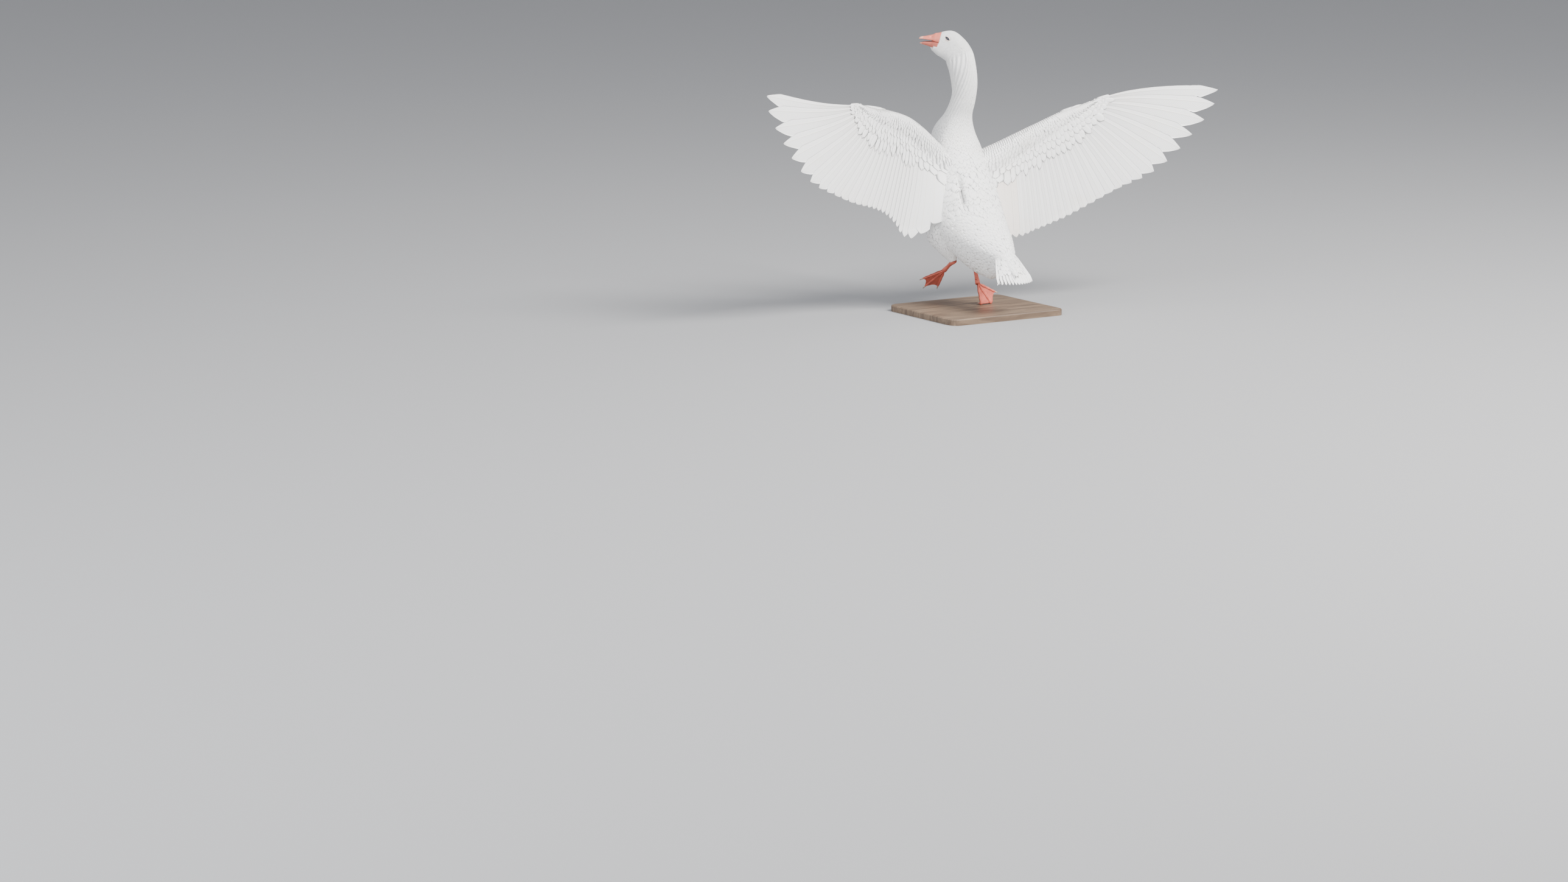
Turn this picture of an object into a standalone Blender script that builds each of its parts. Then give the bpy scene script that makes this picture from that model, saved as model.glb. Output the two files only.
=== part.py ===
"""A white domestic goose at life size, running with its wings spread, on a plain display base.

The goose faces -Y, its left is +X and +Z is up, in metres. Its body rises steeply from the tail to the
neck, the wings stand open in one upright plane, the neck carries the head turned to the goose's left, the
right foot leaves the ground by its toes and the left foot swings forward. Heights are measured from the
base's top, and the whole model then moves so that its box stands centred on the origin.
"""

import math

import bmesh
import bpy
import numpy as np

# Driving dimensions, in metres and degrees.
GAP = 0.0003
BODY_SIDES = 20
NECK_SIDES = 16

# The body from the rump to the bill, one row a section: x, y, z of the middle, the heading to the goose's
# left, the pitch, the half width, and how far the surface rises to the back and falls to the belly.
BODY = (
    (0.000, 0.160, 0.182, 0, 36, 0.046, 0.036, 0.100),  # rump
    (0.000, 0.102, 0.202, 0, 41, 0.076, 0.060, 0.113),  # vent
    (0.000, 0.040, 0.230, 0, 48, 0.100, 0.080, 0.112),  # loin
    (0.000, -0.020, 0.272, 0, 57, 0.116, 0.098, 0.114),  # belly
    (0.000, -0.050, 0.332, 0, 65, 0.115, 0.096, 0.112),  # waist
    (0.000, -0.074, 0.392, 0, 71, 0.106, 0.088, 0.104),  # ribs
    (0.000, -0.090, 0.450, 0, 76, 0.092, 0.076, 0.094),  # breast
    (0.000, -0.100, 0.506, 0, 82, 0.082, 0.060, 0.118),  # crop
    (0.000, -0.103, 0.560, 4, 90, 0.062, 0.045, 0.105),  # neck root
    (0.000, -0.093, 0.614, 12, 99, 0.046, 0.036, 0.051),  # low neck
    (0.000, -0.074, 0.668, 24, 102, 0.041, 0.038, 0.036),  # mid neck
    (0.000, -0.058, 0.722, 38, 97, 0.040, 0.035, 0.049),  # high neck
    (0.001, -0.053, 0.774, 50, 86, 0.038, 0.028, 0.060),  # nape
    (0.006, -0.059, 0.818, 55, 66, 0.034, 0.024, 0.066),  # occiput
    (0.024, -0.073, 0.845, 55, 38, 0.031, 0.0265, 0.066),  # cheek
    (0.047, -0.091, 0.857, 55, 18, 0.027, 0.032, 0.0615),  # brow
    (0.081, -0.1156, 0.861, 55, 15, 0.018, 0.020, 0.0445),  # lore
)
TRUNK_SPAN = (0.0, 8.0)
NECK_LOWER_SPAN = (8.0, 10.4)
NECK_UPPER_SPAN = (10.4, 12.6)
HEAD_SPAN = (12.6, 16.0)

# The bill, one row a section from the head's end forward: the distance, the half width, the top, the bottom.
BILL_LENGTH = 0.052
UPPER_BILL = (
    (0.0000, 0.0165, 0.0182, -0.0062),
    (0.0110, 0.0150, 0.0146, -0.0050),
    (0.0230, 0.0134, 0.0104, -0.0038),
    (0.0350, 0.0120, 0.0068, -0.0028),
    (0.0450, 0.0100, 0.0044, -0.0028),
    (BILL_LENGTH - 0.0020, 0.0062, 0.0020, -0.0038),
    (BILL_LENGTH, 0.0030, -0.0006, -0.0034),
)
LOWER_BILL = (
    (0.0000, 0.0140, -0.0076, -0.0300),
    (0.0120, 0.0124, -0.0072, -0.0240),
    (0.0260, 0.0104, -0.0066, -0.0180),
    (0.0390, 0.0082, -0.0062, -0.0130),
    (0.0455, 0.0044, -0.0062, -0.0096),
)
TONGUE = (
    (0.0060, 0.0056, -0.0062, -0.0070),
    (0.0180, 0.0054, -0.0048, -0.0066),
    (0.0320, 0.0046, -0.0042, -0.0062),
    (0.0390, 0.0022, -0.0052, -0.0060),
)
MOUTH_OPENING = 10.0
BILL_DIP = 10.0
BILL_SIDES = 9

# The eyes: their size, their place along and round the head, and how far in their middles lie.
EYE_RADIUS = 0.0095
EYE_STATION = 15.12
EYE_HEIGHT = 12.0
EYE_DEPTH = 0.0066

# A wing in its own plane: p runs outward from the shoulder, q runs down. One row a feather count f from the
# body outward: f, the leading edge's p and q, the lie of the feather from straight down, its reach, how far
# it bows forward, the depth of flesh behind the leading edge, and half the flesh's thickness.
WING_ROWS = (
    (0.0, 0.015, 0.006, -4, 0.235, 0.000, 0.080, 0.019),
    (2.5, 0.075, -0.018, 2, 0.300, 0.000, 0.078, 0.018),
    (5.0, 0.125, -0.040, 6, 0.330, 0.000, 0.074, 0.016),
    (8.0, 0.165, -0.058, 9, 0.326, 0.000, 0.068, 0.014),
    (12.0, 0.215, -0.080, 15, 0.312, 0.002, 0.060, 0.012),
    (16.0, 0.262, -0.101, 25, 0.310, 0.004, 0.054, 0.011),
    (19.0, 0.292, -0.114, 38, 0.322, 0.006, 0.048, 0.010),
    (22.5, 0.335, -0.128, 53, 0.356, 0.008, 0.038, 0.008),
    (25.5, 0.376, -0.140, 74, 0.386, 0.012, 0.028, 0.006),
    (28.5, 0.408, -0.150, 94, 0.424, 0.018, 0.018, 0.005),
    (29.0, 0.412, -0.153, 96, 0.416, 0.020, 0.014, 0.004),
)
TERTIALS = (0, 5)
SECONDARIES = (5, 19)
PRIMARIES = (19, 29)
ELBOW = 7.0
WRIST = 19.0
SHOULDER = {"left": (0.052, -0.088, 0.500), "right": (-0.052, -0.088, 0.500)}
WING_HEADING = {"left": 11.0, "right": 17.5}
WING_RAISE = {"left": 3.5, "right": 0.0}
WING_HUMP = {"left": 0.045, "right": 0.0}
WING_HUMP_PLACE = (0.16, 0.14)
WING_BOW = {"left": -0.7, "right": 1.0}
# Length added to the feathers round a feather count, over a width of that many feathers: (count, width).
# The innermost tertials lose length towards the body.
TERTIAL_PLACE = (4.5, 3.0)
TERTIAL_EXTRA = {"left": 0.035, "right": 0.0}
TERTIAL_LOSS = {"left": 0.10, "right": 0.0}
TERTIAL_LOSS_COUNT = 4.0
SECONDARY_PLACE = (13.0, 5.0)
SECONDARY_EXTRA = {"left": -0.018, "right": 0.020}
# How deep the notches between the feathers' tips are at feather counts, and how sharply they close.
NOTCH_COUNTS = (0, 5, 6, 19, 22, 26, 29)
NOTCH_DEPTHS = (0.016, 0.016, 0.007, 0.007, 0.022, 0.062, 0.050)
NOTCH_SHARPNESS = 1.4
WING_CAMBER = 0.055
WING_TIP_BEND = 0.035
WING_ROOT_SWEEP = 0.60
WING_ROOT_WIDTH = 0.22
FLESH_EDGE = 0.0020
FLESH_SHARES = (0.0, 0.06, 0.2, 0.4, 0.62, 0.82, 1.0)
VANE_GAP = 0.0010
VANE_ROOT = 0.0035
VANE_TIP = 0.0010
VANE_SHARES = (0.0, 0.4, 0.76, 1.0)
HAND_COLUMNS = 11
ALULA_WIDTH = 0.013
ALULA_HALF = (0.0012, 0.0020)
ALULA_CLEARANCE = 0.0009

# The tail: a fan of feathers behind the rump.
TAIL_ROOT = (-0.004, 0.164, 0.204)
TAIL_LENGTH = 0.133
TAIL_PITCH = 50.0
TAIL_SPREAD = 18.0
TAIL_ROOT_WIDTH = 0.032
TAIL_FEATHERS = 12
TAIL_NOTCH = 0.010
TAIL_CORNER_LOSS = 0.10
TAIL_ARCH = 0.020
TAIL_COVERTS = (0.011, 0.080)

# The legs, each a row of points: the hip in the body, the ankle, the ball of the foot.
LEG = {
    "left": ((0.058, -0.052, 0.300), (0.052, -0.044, 0.146), (0.040, -0.110, 0.108)),
    "right": ((-0.050, -0.020, 0.270), (-0.045, -0.066, 0.134), (-0.022, -0.010, 0.073)),
}
KNEE_SHARE = 0.33
CALF_SHARE = 0.68
THIGH_SIDES = 14
THIGH_RADII = {"left": (0.040, 0.056, 0.040, 0.0115), "right": (0.040, 0.050, 0.034, 0.0115)}
THIGH_BULGE = {"left": (0.018, -0.026, 0.0), "right": (-0.010, 0.0, 0.0)}
SHANK_RADII = (0.0095, 0.0062, 0.0078)
SHANK_SIDES = 12
SHANK_OVERLAP = 0.004
LEG_SIDE = (1.0, 0.1, 0.0)
BALL_ROOM = 0.0045
TOE_AIM = {"left": (0.30, -0.72, -0.62), "right": (-0.60, 0.05, -0.80)}
SOLE_AIM = {"left": (0.25, 0.60, -0.75), "right": (-0.05, 0.99, 0.05)}
TOES = (("inner", -27.0, 0.079), ("middle", 0.0, 0.098), ("outer", 27.0, 0.088))
TOE_RADIUS = 0.0050
TOE_SHARES = (0.03, 0.3, 0.6, 0.78, 0.88, 1.0)
TOE_TAPER = 0.35
TOE_EDGE_ANGLE = 3.6
TOE_EDGE_RIDGE = 0.25
TOE_EDGE_LOSS = 0.036
TOE_LEVEL = 0.0036
FLAT_TOE = (0.6, -0.8)
WEB_HALF = 0.0012
WEB_DEPTH = 0.86
CLAW_LENGTH = 0.011
CLAW_RADII = (0.0028, 0.0022, 0.0007)
CLAW_SIDE = (0.31, 0.2, 0.93)
HIND_TOE_RISE = 0.017
HIND_TOE_LENGTH = 0.017
HIND_TOE_DROP = 0.75
HIND_TOE_RADII = (0.0040, 0.0034, 0.0009)

BASE_SIZE = (0.44, 0.38, 0.020)
BASE_CENTRE = (0.0, 0.015)
BASE_CORNER = 0.030
BASE_CORNER_STEPS = 7
BASE_EDGE = 0.003

# Each finish's colour and roughness. Nothing here is metal.
FEATHER = ((0.86, 0.85, 0.84), 0.85)
HORN = ((0.80, 0.33, 0.18), 0.45)
MOUTH = ((0.55, 0.16, 0.14), 0.50)
EYE = ((0.06, 0.07, 0.10), 0.10)
LEG_SKIN = ((0.78, 0.30, 0.17), 0.55)
CLAW = ((0.55, 0.42, 0.34), 0.50)
BOARD = ((0.30, 0.26, 0.22), 0.60)


def material(name, finish):
    """A sub-part's own material of one colour, from its finish."""
    colour, roughness = finish
    made = bpy.data.materials.new(name)
    made.use_nodes = True
    shader = made.node_tree.nodes["Principled BSDF"]
    shader.inputs["Base Color"].default_value = (*colour, 1.0)
    shader.inputs["Roughness"].default_value = roughness
    shader.inputs["Metallic"].default_value = 0.0
    return made


def curve_through(knots, rows, at):
    """A smooth curve through rows of numbers at their knots, in cubic pieces of gentle slope."""
    knots = np.asarray(knots, float)
    rows = np.asarray(rows, float)
    at = np.clip(np.asarray(at, float), knots[0], knots[-1])
    slopes = np.gradient(rows, knots, axis=0)
    left = np.clip(np.searchsorted(knots, at, side="right") - 1, 0, len(knots) - 2)
    step = (knots[left + 1] - knots[left])[:, None]
    t = (at - knots[left])[:, None] / step
    start, end = rows[left], rows[left + 1]
    return (
        (2 * t**3 - 3 * t**2 + 1) * start
        + (t**3 - 2 * t**2 + t) * step * slopes[left]
        + (3 * t**2 - 2 * t**3) * end
        + (t**3 - t**2) * step * slopes[left + 1]
    )


def unit(vectors):
    """The vectors at length one."""
    return vectors / np.linalg.norm(vectors, axis=-1, keepdims=True)


def solid(name, points, faces, finish):
    """An object of its own from points and faces, split the same way each time and facing outward."""
    mesh = bpy.data.meshes.new(name)
    mesh.from_pydata([tuple(map(float, point)) for point in points], [], faces)
    build = bmesh.new()
    build.from_mesh(mesh)
    bmesh.ops.remove_doubles(build, verts=build.verts, dist=1e-6)
    bmesh.ops.recalc_face_normals(build, faces=build.faces)
    if build.calc_volume(signed=True) < 0:
        bmesh.ops.reverse_faces(build, faces=build.faces)
    bmesh.ops.triangulate(build, faces=build.faces, quad_method="FIXED", ngon_method="EAR_CLIP")
    build.to_mesh(mesh)
    build.free()
    mesh.shade_smooth()
    mesh.set_sharp_from_angle(angle=math.radians(45))
    mesh.materials.append(material(name + "_finish", finish))
    made = bpy.data.objects.new(name, mesh)
    bpy.context.collection.objects.link(made)
    return made


def tube(name, rings, finish):
    """A closed solid over rings of points, flat at both ends."""
    count, sides = rings.shape[:2]
    faces = []
    for i in range(count - 1):
        for j in range(sides):
            k = (j + 1) % sides
            faces.append((i * sides + j, i * sides + k, (i + 1) * sides + k, (i + 1) * sides + j))
    faces.append(tuple(range(sides)))
    faces.append(tuple(range((count - 1) * sides, count * sides)))
    return solid(name, rings.reshape(-1, 3), faces, finish)


def plate(name, upper, lower, finish):
    """A closed solid between two grids of points of the same size."""
    rows, columns = upper.shape[:2]
    under = rows * columns

    def corner(i, j):
        return i * columns + j

    faces = []
    for i in range(rows - 1):
        for j in range(columns - 1):
            quad = (corner(i, j), corner(i + 1, j), corner(i + 1, j + 1), corner(i, j + 1))
            faces.append(quad)
            faces.append(tuple(under + c for c in reversed(quad)))
    rim = [corner(i, 0) for i in range(rows)]
    rim += [corner(rows - 1, j) for j in range(1, columns)]
    rim += [corner(i, columns - 1) for i in range(rows - 2, -1, -1)]
    rim += [corner(0, j) for j in range(columns - 2, 0, -1)]
    for here, there in zip(rim, rim[1:] + rim[:1]):
        faces.append((here, there, under + there, under + here))
    points = np.concatenate([upper.reshape(-1, 3), lower.reshape(-1, 3)])
    return solid(name, points, faces, finish)


def cut(body, tool):
    """Takes the tool's shape, a hidden helper, out of the body."""
    tool.hide_render = True
    tool.display_type = "WIRE"
    boolean = body.modifiers.new("cut_" + tool.name, "BOOLEAN")
    boolean.operation = "DIFFERENCE"
    boolean.solver = "EXACT"
    boolean.object = tool


def body_frame(at):
    """The body's sections at stations: the middle, the forward line, the left side, the back, the sizes."""
    rows = curve_through(np.arange(len(BODY)), BODY, np.atleast_1d(at))
    heading, pitch = np.radians(rows[:, 3]), np.radians(rows[:, 4])
    level = np.cos(pitch)
    forward = np.stack([np.sin(heading) * level, -np.cos(heading) * level, np.sin(pitch)], axis=1)
    side = np.stack([np.cos(heading), np.sin(heading), np.zeros_like(heading)], axis=1)
    return rows[:, :3], forward, side, np.cross(forward, side), rows[:, 5:]


def body_rings(span, count, sides, grow=0.0):
    """Rings of the body's surface between two stations, drawn in by half a gap at each end."""
    middle, forward, side, back, sizes = body_frame(np.linspace(*span, count))
    middle[0] += forward[0] * (GAP / 2 - grow)
    middle[-1] -= forward[-1] * (GAP / 2 - grow)
    turn = np.linspace(0, 2 * math.pi, sides, endpoint=False)
    across, rise = np.cos(turn), np.sin(turn)
    width = (sizes[:, 0] + grow)[:, None] * across
    height = np.where(rise > 0, sizes[:, 1:2] + grow, sizes[:, 2:3] + grow) * rise
    return middle[:, None] + width[..., None] * side[:, None] + height[..., None] * back[:, None]


def surface_point(station, height_angle, hand, inward=0.0):
    """A point under the body's surface at a station, at an angle above the side, on one hand."""
    middle, _, side, back, sizes = body_frame(station)
    turn = math.radians(height_angle)
    reach = hand * side[0] * (sizes[0, 0] - inward) * math.cos(turn)
    return middle[0] + reach + back[0] * (sizes[0, 1] - inward) * math.sin(turn)


def make_body():
    """The trunk, the two lengths of neck and the head, end to end, and the trunk's slightly larger helper."""
    tube("trunk", body_rings(TRUNK_SPAN, 15, BODY_SIDES), FEATHER)
    tube("neck_lower", body_rings(NECK_LOWER_SPAN, 8, NECK_SIDES), FEATHER)
    tube("neck_upper", body_rings(NECK_UPPER_SPAN, 8, NECK_SIDES), FEATHER)
    head = tube("head", body_rings(HEAD_SPAN, 12, BODY_SIDES), FEATHER)
    trunk_helper = tube("trunk_helper", body_rings(TRUNK_SPAN, 15, BODY_SIDES, grow=GAP), FEATHER)
    return head, trunk_helper


def make_eyes(head):
    """Two eyeballs set in sockets of the head, each standing a little proud."""
    for hand, word in ((1, "left"), (-1, "right")):
        centre = surface_point(EYE_STATION, EYE_HEIGHT, hand, inward=EYE_DEPTH)
        for name, radius in (("eye_" + word, EYE_RADIUS), ("socket_" + word, EYE_RADIUS + GAP)):
            build = bmesh.new()
            bmesh.ops.create_icosphere(build, subdivisions=2, radius=radius)
            faces = [tuple(vert.index for vert in face.verts) for face in build.faces]
            points = np.array([vert.co for vert in build.verts]) + centre
            build.free()
            made = solid(name, points, faces, EYE)
            if name.startswith("socket"):
                cut(head, made)


def bill_rings(rows, opening, low, high):
    """Rings of a mandible square to the head's end, from rows of (distance, half width, top, bottom).

    A ring is the part of a round from low to high. The mandible dips from the head's line with the whole
    bill, and drops by an opening angle more.
    """
    middle, forward, side, up, _ = body_frame(len(BODY) - 1)
    turn = np.radians(np.linspace(low, high, BILL_SIDES))
    across, rise = np.cos(turn), np.sin(turn)
    level = (rise - rise.min()) / (rise.max() - rise.min())
    rings = []
    for distance, half, top, bottom in rows:
        height = bottom + (top - bottom) * level - math.tan(math.radians(BILL_DIP + opening)) * distance
        start = middle[0] + forward[0] * (distance + GAP)
        rings.append(start + half * across[:, None] * side[0] + height[:, None] * up[0])
    return np.array(rings)


def make_bill():
    """The upper mandible with its nail, the lower mandible, and the tongue between them."""
    tube("bill_upper", bill_rings(UPPER_BILL, 0.0, 0.0, 180.0), HORN)
    tube("bill_lower", bill_rings(LOWER_BILL, MOUTH_OPENING, 180.0, 360.0), HORN)
    tube("tongue", bill_rings(TONGUE, MOUTH_OPENING, 0.0, 180.0), MOUTH)


def wing_rows(feathers):
    """The wing's sizes at feather counts, in the order of a row but for its first number."""
    rows = np.array(WING_ROWS)
    return curve_through(rows[:, 0], rows[:, 1:], feathers)


def swell(feathers, place):
    """One at a place's feather count, falling to nothing over its width."""
    return np.exp(-(((feathers - place[0]) / place[1]) ** 2))


def feather_reach(hand, feathers):
    """How far the feathers' tips lie from the leading edge, with what this wing's spread adds."""
    tertials = TERTIAL_EXTRA[hand] * swell(feathers, TERTIAL_PLACE)
    tertials -= TERTIAL_LOSS[hand] * np.clip(1 - feathers / TERTIAL_LOSS_COUNT, 0, 1)
    return wing_rows(feathers)[:, 3] + tertials + SECONDARY_EXTRA[hand] * swell(feathers, SECONDARY_PLACE)


def tip_notch(feathers):
    """How far the outline draws in from the reach: most between two feathers, nothing on their middles."""
    from_middle = np.abs(np.mod(feathers, 1.0) - 0.5) * 2
    return np.interp(feathers, NOTCH_COUNTS, NOTCH_DEPTHS) * from_middle**NOTCH_SHARPNESS


def wing_points(hand, feathers, reach, shift, half):
    """Upper and lower grids of the wing, a column a feather count and a row a distance from the lead edge."""
    lead_p, lead_q, lie, length, bow, flesh, _ = wing_rows(feathers).T
    lie = np.radians(lie)
    share = reach / length
    bend = WING_BOW[hand] * bow * np.sin(math.pi * np.clip(share, 0, 1) ** 0.8)
    p = lead_p + np.sin(lie) * reach + np.cos(lie) * (shift + bend)
    q = lead_q + np.cos(lie) * reach - np.sin(lie) * (shift + bend)
    raise_by = math.radians(WING_RAISE[hand])
    along = p * math.cos(raise_by) + q * math.sin(raise_by)
    down = q * math.cos(raise_by) - p * math.sin(raise_by)
    place, width = WING_HUMP_PLACE
    down = down - WING_HUMP[hand] * np.exp(-(((along - place) / width) ** 2))
    bulge = WING_CAMBER * length * np.sin(math.pi * np.clip(share, 0, 1) ** 0.7) * np.exp(-along / 0.5)
    bulge += WING_TIP_BEND * (np.clip(along, 0, None) / 0.8) ** 2
    near = np.clip(1 - along / WING_ROOT_WIDTH, 0, 1) ** 2
    bulge += WING_ROOT_SWEEP * near * np.clip(down, 0, None)
    heading = math.radians(WING_HEADING[hand])
    sign = 1 if hand == "left" else -1
    out = np.array([sign * math.cos(heading), math.sin(heading), 0.0])
    face = np.array([-sign * math.sin(heading), math.cos(heading), 0.0])
    base = np.array(SHOULDER[hand]) + along[..., None] * out - down[..., None] * np.array([0, 0, 1.0])
    return base + (bulge + half)[..., None] * face, base + (bulge - half)[..., None] * face


def edge_shift(columns):
    """Half a gap inward on the first and last of the columns."""
    shift = np.zeros(columns)
    shift[0], shift[-1] = GAP / 2, -GAP / 2
    return shift


def make_flesh_patch(name, hand, span, columns):
    """A length of the arm: flesh and small feathers from its leading edge to the long feathers' roots."""
    feathers = np.linspace(*span, columns)
    flesh, thick = wing_rows(feathers)[:, 5:].T
    share = np.array(FLESH_SHARES)[:, None]
    reach = share * (flesh - GAP / 2)
    half = FLESH_EDGE + share * (VANE_ROOT - FLESH_EDGE) + thick * np.sin(math.pi * share**0.6) ** 0.9
    upper, lower = wing_points(hand, feathers, reach, edge_shift(columns), half)
    return plate(f"{name}_{hand}", upper, lower, FEATHER)


def make_vane_patch(name, hand, span, per_feather):
    """A row of long feathers side by side as one thin plate, with the outline of their tips."""
    count = (span[1] - span[0]) * per_feather + 1
    feathers = np.linspace(*span, count)
    rows = wing_rows(feathers)
    root = rows[:, 5] + VANE_GAP
    tip = feather_reach(hand, feathers) - tip_notch(feathers)
    share = np.array(VANE_SHARES)[:, None]
    reach = root + share * (tip - root)
    half = VANE_ROOT + share * (VANE_TIP - VANE_ROOT)
    upper, lower = wing_points(hand, feathers, reach, edge_shift(count), half)
    return plate(f"{name}_{hand}", upper, lower, FEATHER)


def make_alula(hand):
    """The thumb's small feathers, along the leading edge past the wrist."""
    feathers = np.linspace(WRIST, PRIMARIES[1], HAND_COLUMNS)[:-1]
    share = np.linspace(-1, 0, 4)[:, None]
    along = np.linspace(0, 1, len(feathers))
    width = ALULA_WIDTH * np.sqrt(np.clip(np.sin(math.pi * (0.06 + 0.88 * along**0.8)), 0, 1))
    reach = share * width - ALULA_CLEARANCE
    half = np.interp(share, (-1, 0), ALULA_HALF) + np.zeros_like(reach)
    upper, lower = wing_points(hand, feathers, reach, edge_shift(len(feathers)), half)
    return plate("alula_" + hand, upper, lower, FEATHER)


def make_wing(hand, trunk_helper):
    """One wing: three lengths of arm, the alula and the three rows of long feathers."""
    arm = make_flesh_patch("upper_arm", hand, (0.0, ELBOW), 8)
    make_flesh_patch("forearm", hand, (ELBOW, WRIST), 9)
    make_flesh_patch("hand", hand, (WRIST, PRIMARIES[1]), HAND_COLUMNS)
    make_alula(hand)
    tertials = make_vane_patch("tertials", hand, TERTIALS, 4)
    make_vane_patch("secondaries", hand, SECONDARIES, 2)
    make_vane_patch("primaries", hand, PRIMARIES, 4)
    cut(arm, trunk_helper)
    cut(tertials, trunk_helper)


def make_tail(trunk_helper):
    """The tail: a fan of feathers with a slightly arched back and an almost straight end."""
    columns = TAIL_FEATHERS * 2 + 1
    spread = np.linspace(-1, 1, columns)
    share = np.array(VANE_SHARES)[:, None]
    notch = TAIL_NOTCH * (np.arange(columns) % 2 == 0)
    length = TAIL_LENGTH * (1 - TAIL_CORNER_LOSS * spread**2) - notch
    turn = np.radians(TAIL_SPREAD) * spread
    across = TAIL_ROOT_WIDTH * spread + np.sin(turn) * length * share
    away = np.cos(turn) * length * share
    drop = TAIL_ARCH * spread**2 * (0.4 + 0.6 * share)
    pitch = math.radians(TAIL_PITCH)
    back = np.array([0.0, math.cos(pitch), -math.sin(pitch)])
    up = np.array([0.0, math.sin(pitch), math.cos(pitch)])
    base = np.array(TAIL_ROOT) + away[..., None] * back + across[..., None] * np.array([1.0, 0, 0])
    above = TAIL_COVERTS[0] * (1 - share) ** 1.5 + VANE_TIP
    below = TAIL_COVERTS[1] * (1 - share) * (1 - 0.5 * spread**2) + VANE_TIP
    upper = base + (above - drop)[..., None] * up
    lower = base - (below + drop)[..., None] * up
    cut(plate("tail", upper, lower, FEATHER), trunk_helper)


def rings_along(points, radii, sides, reference, steps=4):
    """Round rings along a smooth line through points, each square to the line."""
    count = (len(points) - 1) * steps + 1
    at = np.linspace(0, len(points) - 1, count)
    rows = np.column_stack([points, radii])
    line = curve_through(np.arange(len(points)), rows, at)
    forward = unit(np.gradient(line[:, :3], axis=0))
    side = unit(np.cross(forward, reference))
    other = np.cross(forward, side)
    turn = np.linspace(0, 2 * math.pi, sides, endpoint=False)
    round_ = np.cos(turn)[:, None] * side[:, None] + np.sin(turn)[:, None] * other[:, None]
    return line[:, None, :3] + line[:, 3][:, None, None] * round_


def foot_frame(side_word):
    """The foot's lines: along the middle toe, across to the outer toe, and out of the sole."""
    along = unit(np.array(TOE_AIM[side_word]))
    sole = np.array(SOLE_AIM[side_word])
    sole = unit(sole - along * (sole @ along))
    across = np.cross(sole, along) * (1 if side_word == "left" else -1)
    return along, across, sole


def toe_line(side_word, angle, distance):
    """Points of a toe at distances from the ball of the foot, and the way its sole faces at each of them.

    A toe of the standing foot that would sink below the ground's level turns forward and lies flat on it.
    """
    along, across, sole = foot_frame(side_word)
    turn = math.radians(angle)
    aim = along * math.cos(turn) + across * math.sin(turn)
    start = np.array(LEG[side_word][2])
    soles = np.repeat(sole[None], len(distance), axis=0)
    if side_word == "left":
        return start + distance[:, None] * aim, soles
    reach = (start[2] - TOE_LEVEL) / -aim[2]
    over = np.clip(distance - reach, 0, None)
    flat = unit(np.array([aim[0] * FLAT_TOE[0], FLAT_TOE[1], 0.0]))
    points = start + np.minimum(distance, reach)[:, None] * aim + over[:, None] * flat
    laid = np.clip((distance - reach) / TOE_RADIUS + 1.2, 0, 1)[:, None]
    return points, unit(soles * (1 - laid) + np.array([0, 0, -1.0]) * laid)


def make_foot(side_word):
    """A webbed foot of three toes with the webs between them, and each toe's claw."""
    share = np.array(TOE_SHARES)
    columns, soles, ridges = [], [], []

    def add_column(angle, length, ridge):
        line, facing = toe_line(side_word, angle, share * length)
        columns.append(line)
        soles.append(facing)
        ridges.append(ridge)

    for index, (_, angle, length) in enumerate(TOES):
        if index:
            before = TOES[index - 1]
            add_column((angle + before[1]) / 2, (length + before[2]) / 2 * WEB_DEPTH, 0.0)
        edge_length = length * (1 - TOE_EDGE_LOSS)
        add_column(angle - TOE_EDGE_ANGLE, edge_length, TOE_EDGE_RIDGE)
        add_column(angle, length, 1.0)
        add_column(angle + TOE_EDGE_ANGLE, edge_length, TOE_EDGE_RIDGE)
    middle, facing = np.stack(columns, axis=1), np.stack(soles, axis=1)
    half = WEB_HALF + (TOE_RADIUS * (1 - TOE_TAPER * share)[:, None] - WEB_HALF) * np.array(ridges)
    upper = middle - half[..., None] * facing
    lower = middle + half[..., None] * facing * 0.8
    lower[..., 2] = np.maximum(lower[..., 2], GAP)
    upper[..., 2] = np.maximum(upper[..., 2], GAP + WEB_HALF)
    plate("foot_" + side_word, upper, lower, LEG_SKIN)
    for name, angle, length in TOES:
        line, _ = toe_line(side_word, angle, length + np.array([GAP, CLAW_LENGTH / 2, CLAW_LENGTH]))
        tube(f"claw_{name}_{side_word}", rings_along(line, CLAW_RADII, 8, CLAW_SIDE, steps=1), CLAW)


def make_hind_toe(side_word, shank_helper):
    """The small hind toe with its claw, raised on the back of the shank just above the ball of the foot."""
    _, ankle, ball = (np.array(point) for point in LEG[side_word])
    along, _, _ = foot_frame(side_word)
    up = unit(ankle - ball)
    back = unit(-along + up * (along @ up))
    start = ball + up * HIND_TOE_RISE
    aim = unit(back - up * HIND_TOE_DROP)
    line = np.array([start, start + aim * HIND_TOE_LENGTH * 0.6, start + aim * HIND_TOE_LENGTH])
    rings = rings_along(line, HIND_TOE_RADII, 8, CLAW_SIDE, steps=2)
    cut(tube("hind_toe_" + side_word, rings, LEG_SKIN), shank_helper)


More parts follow.
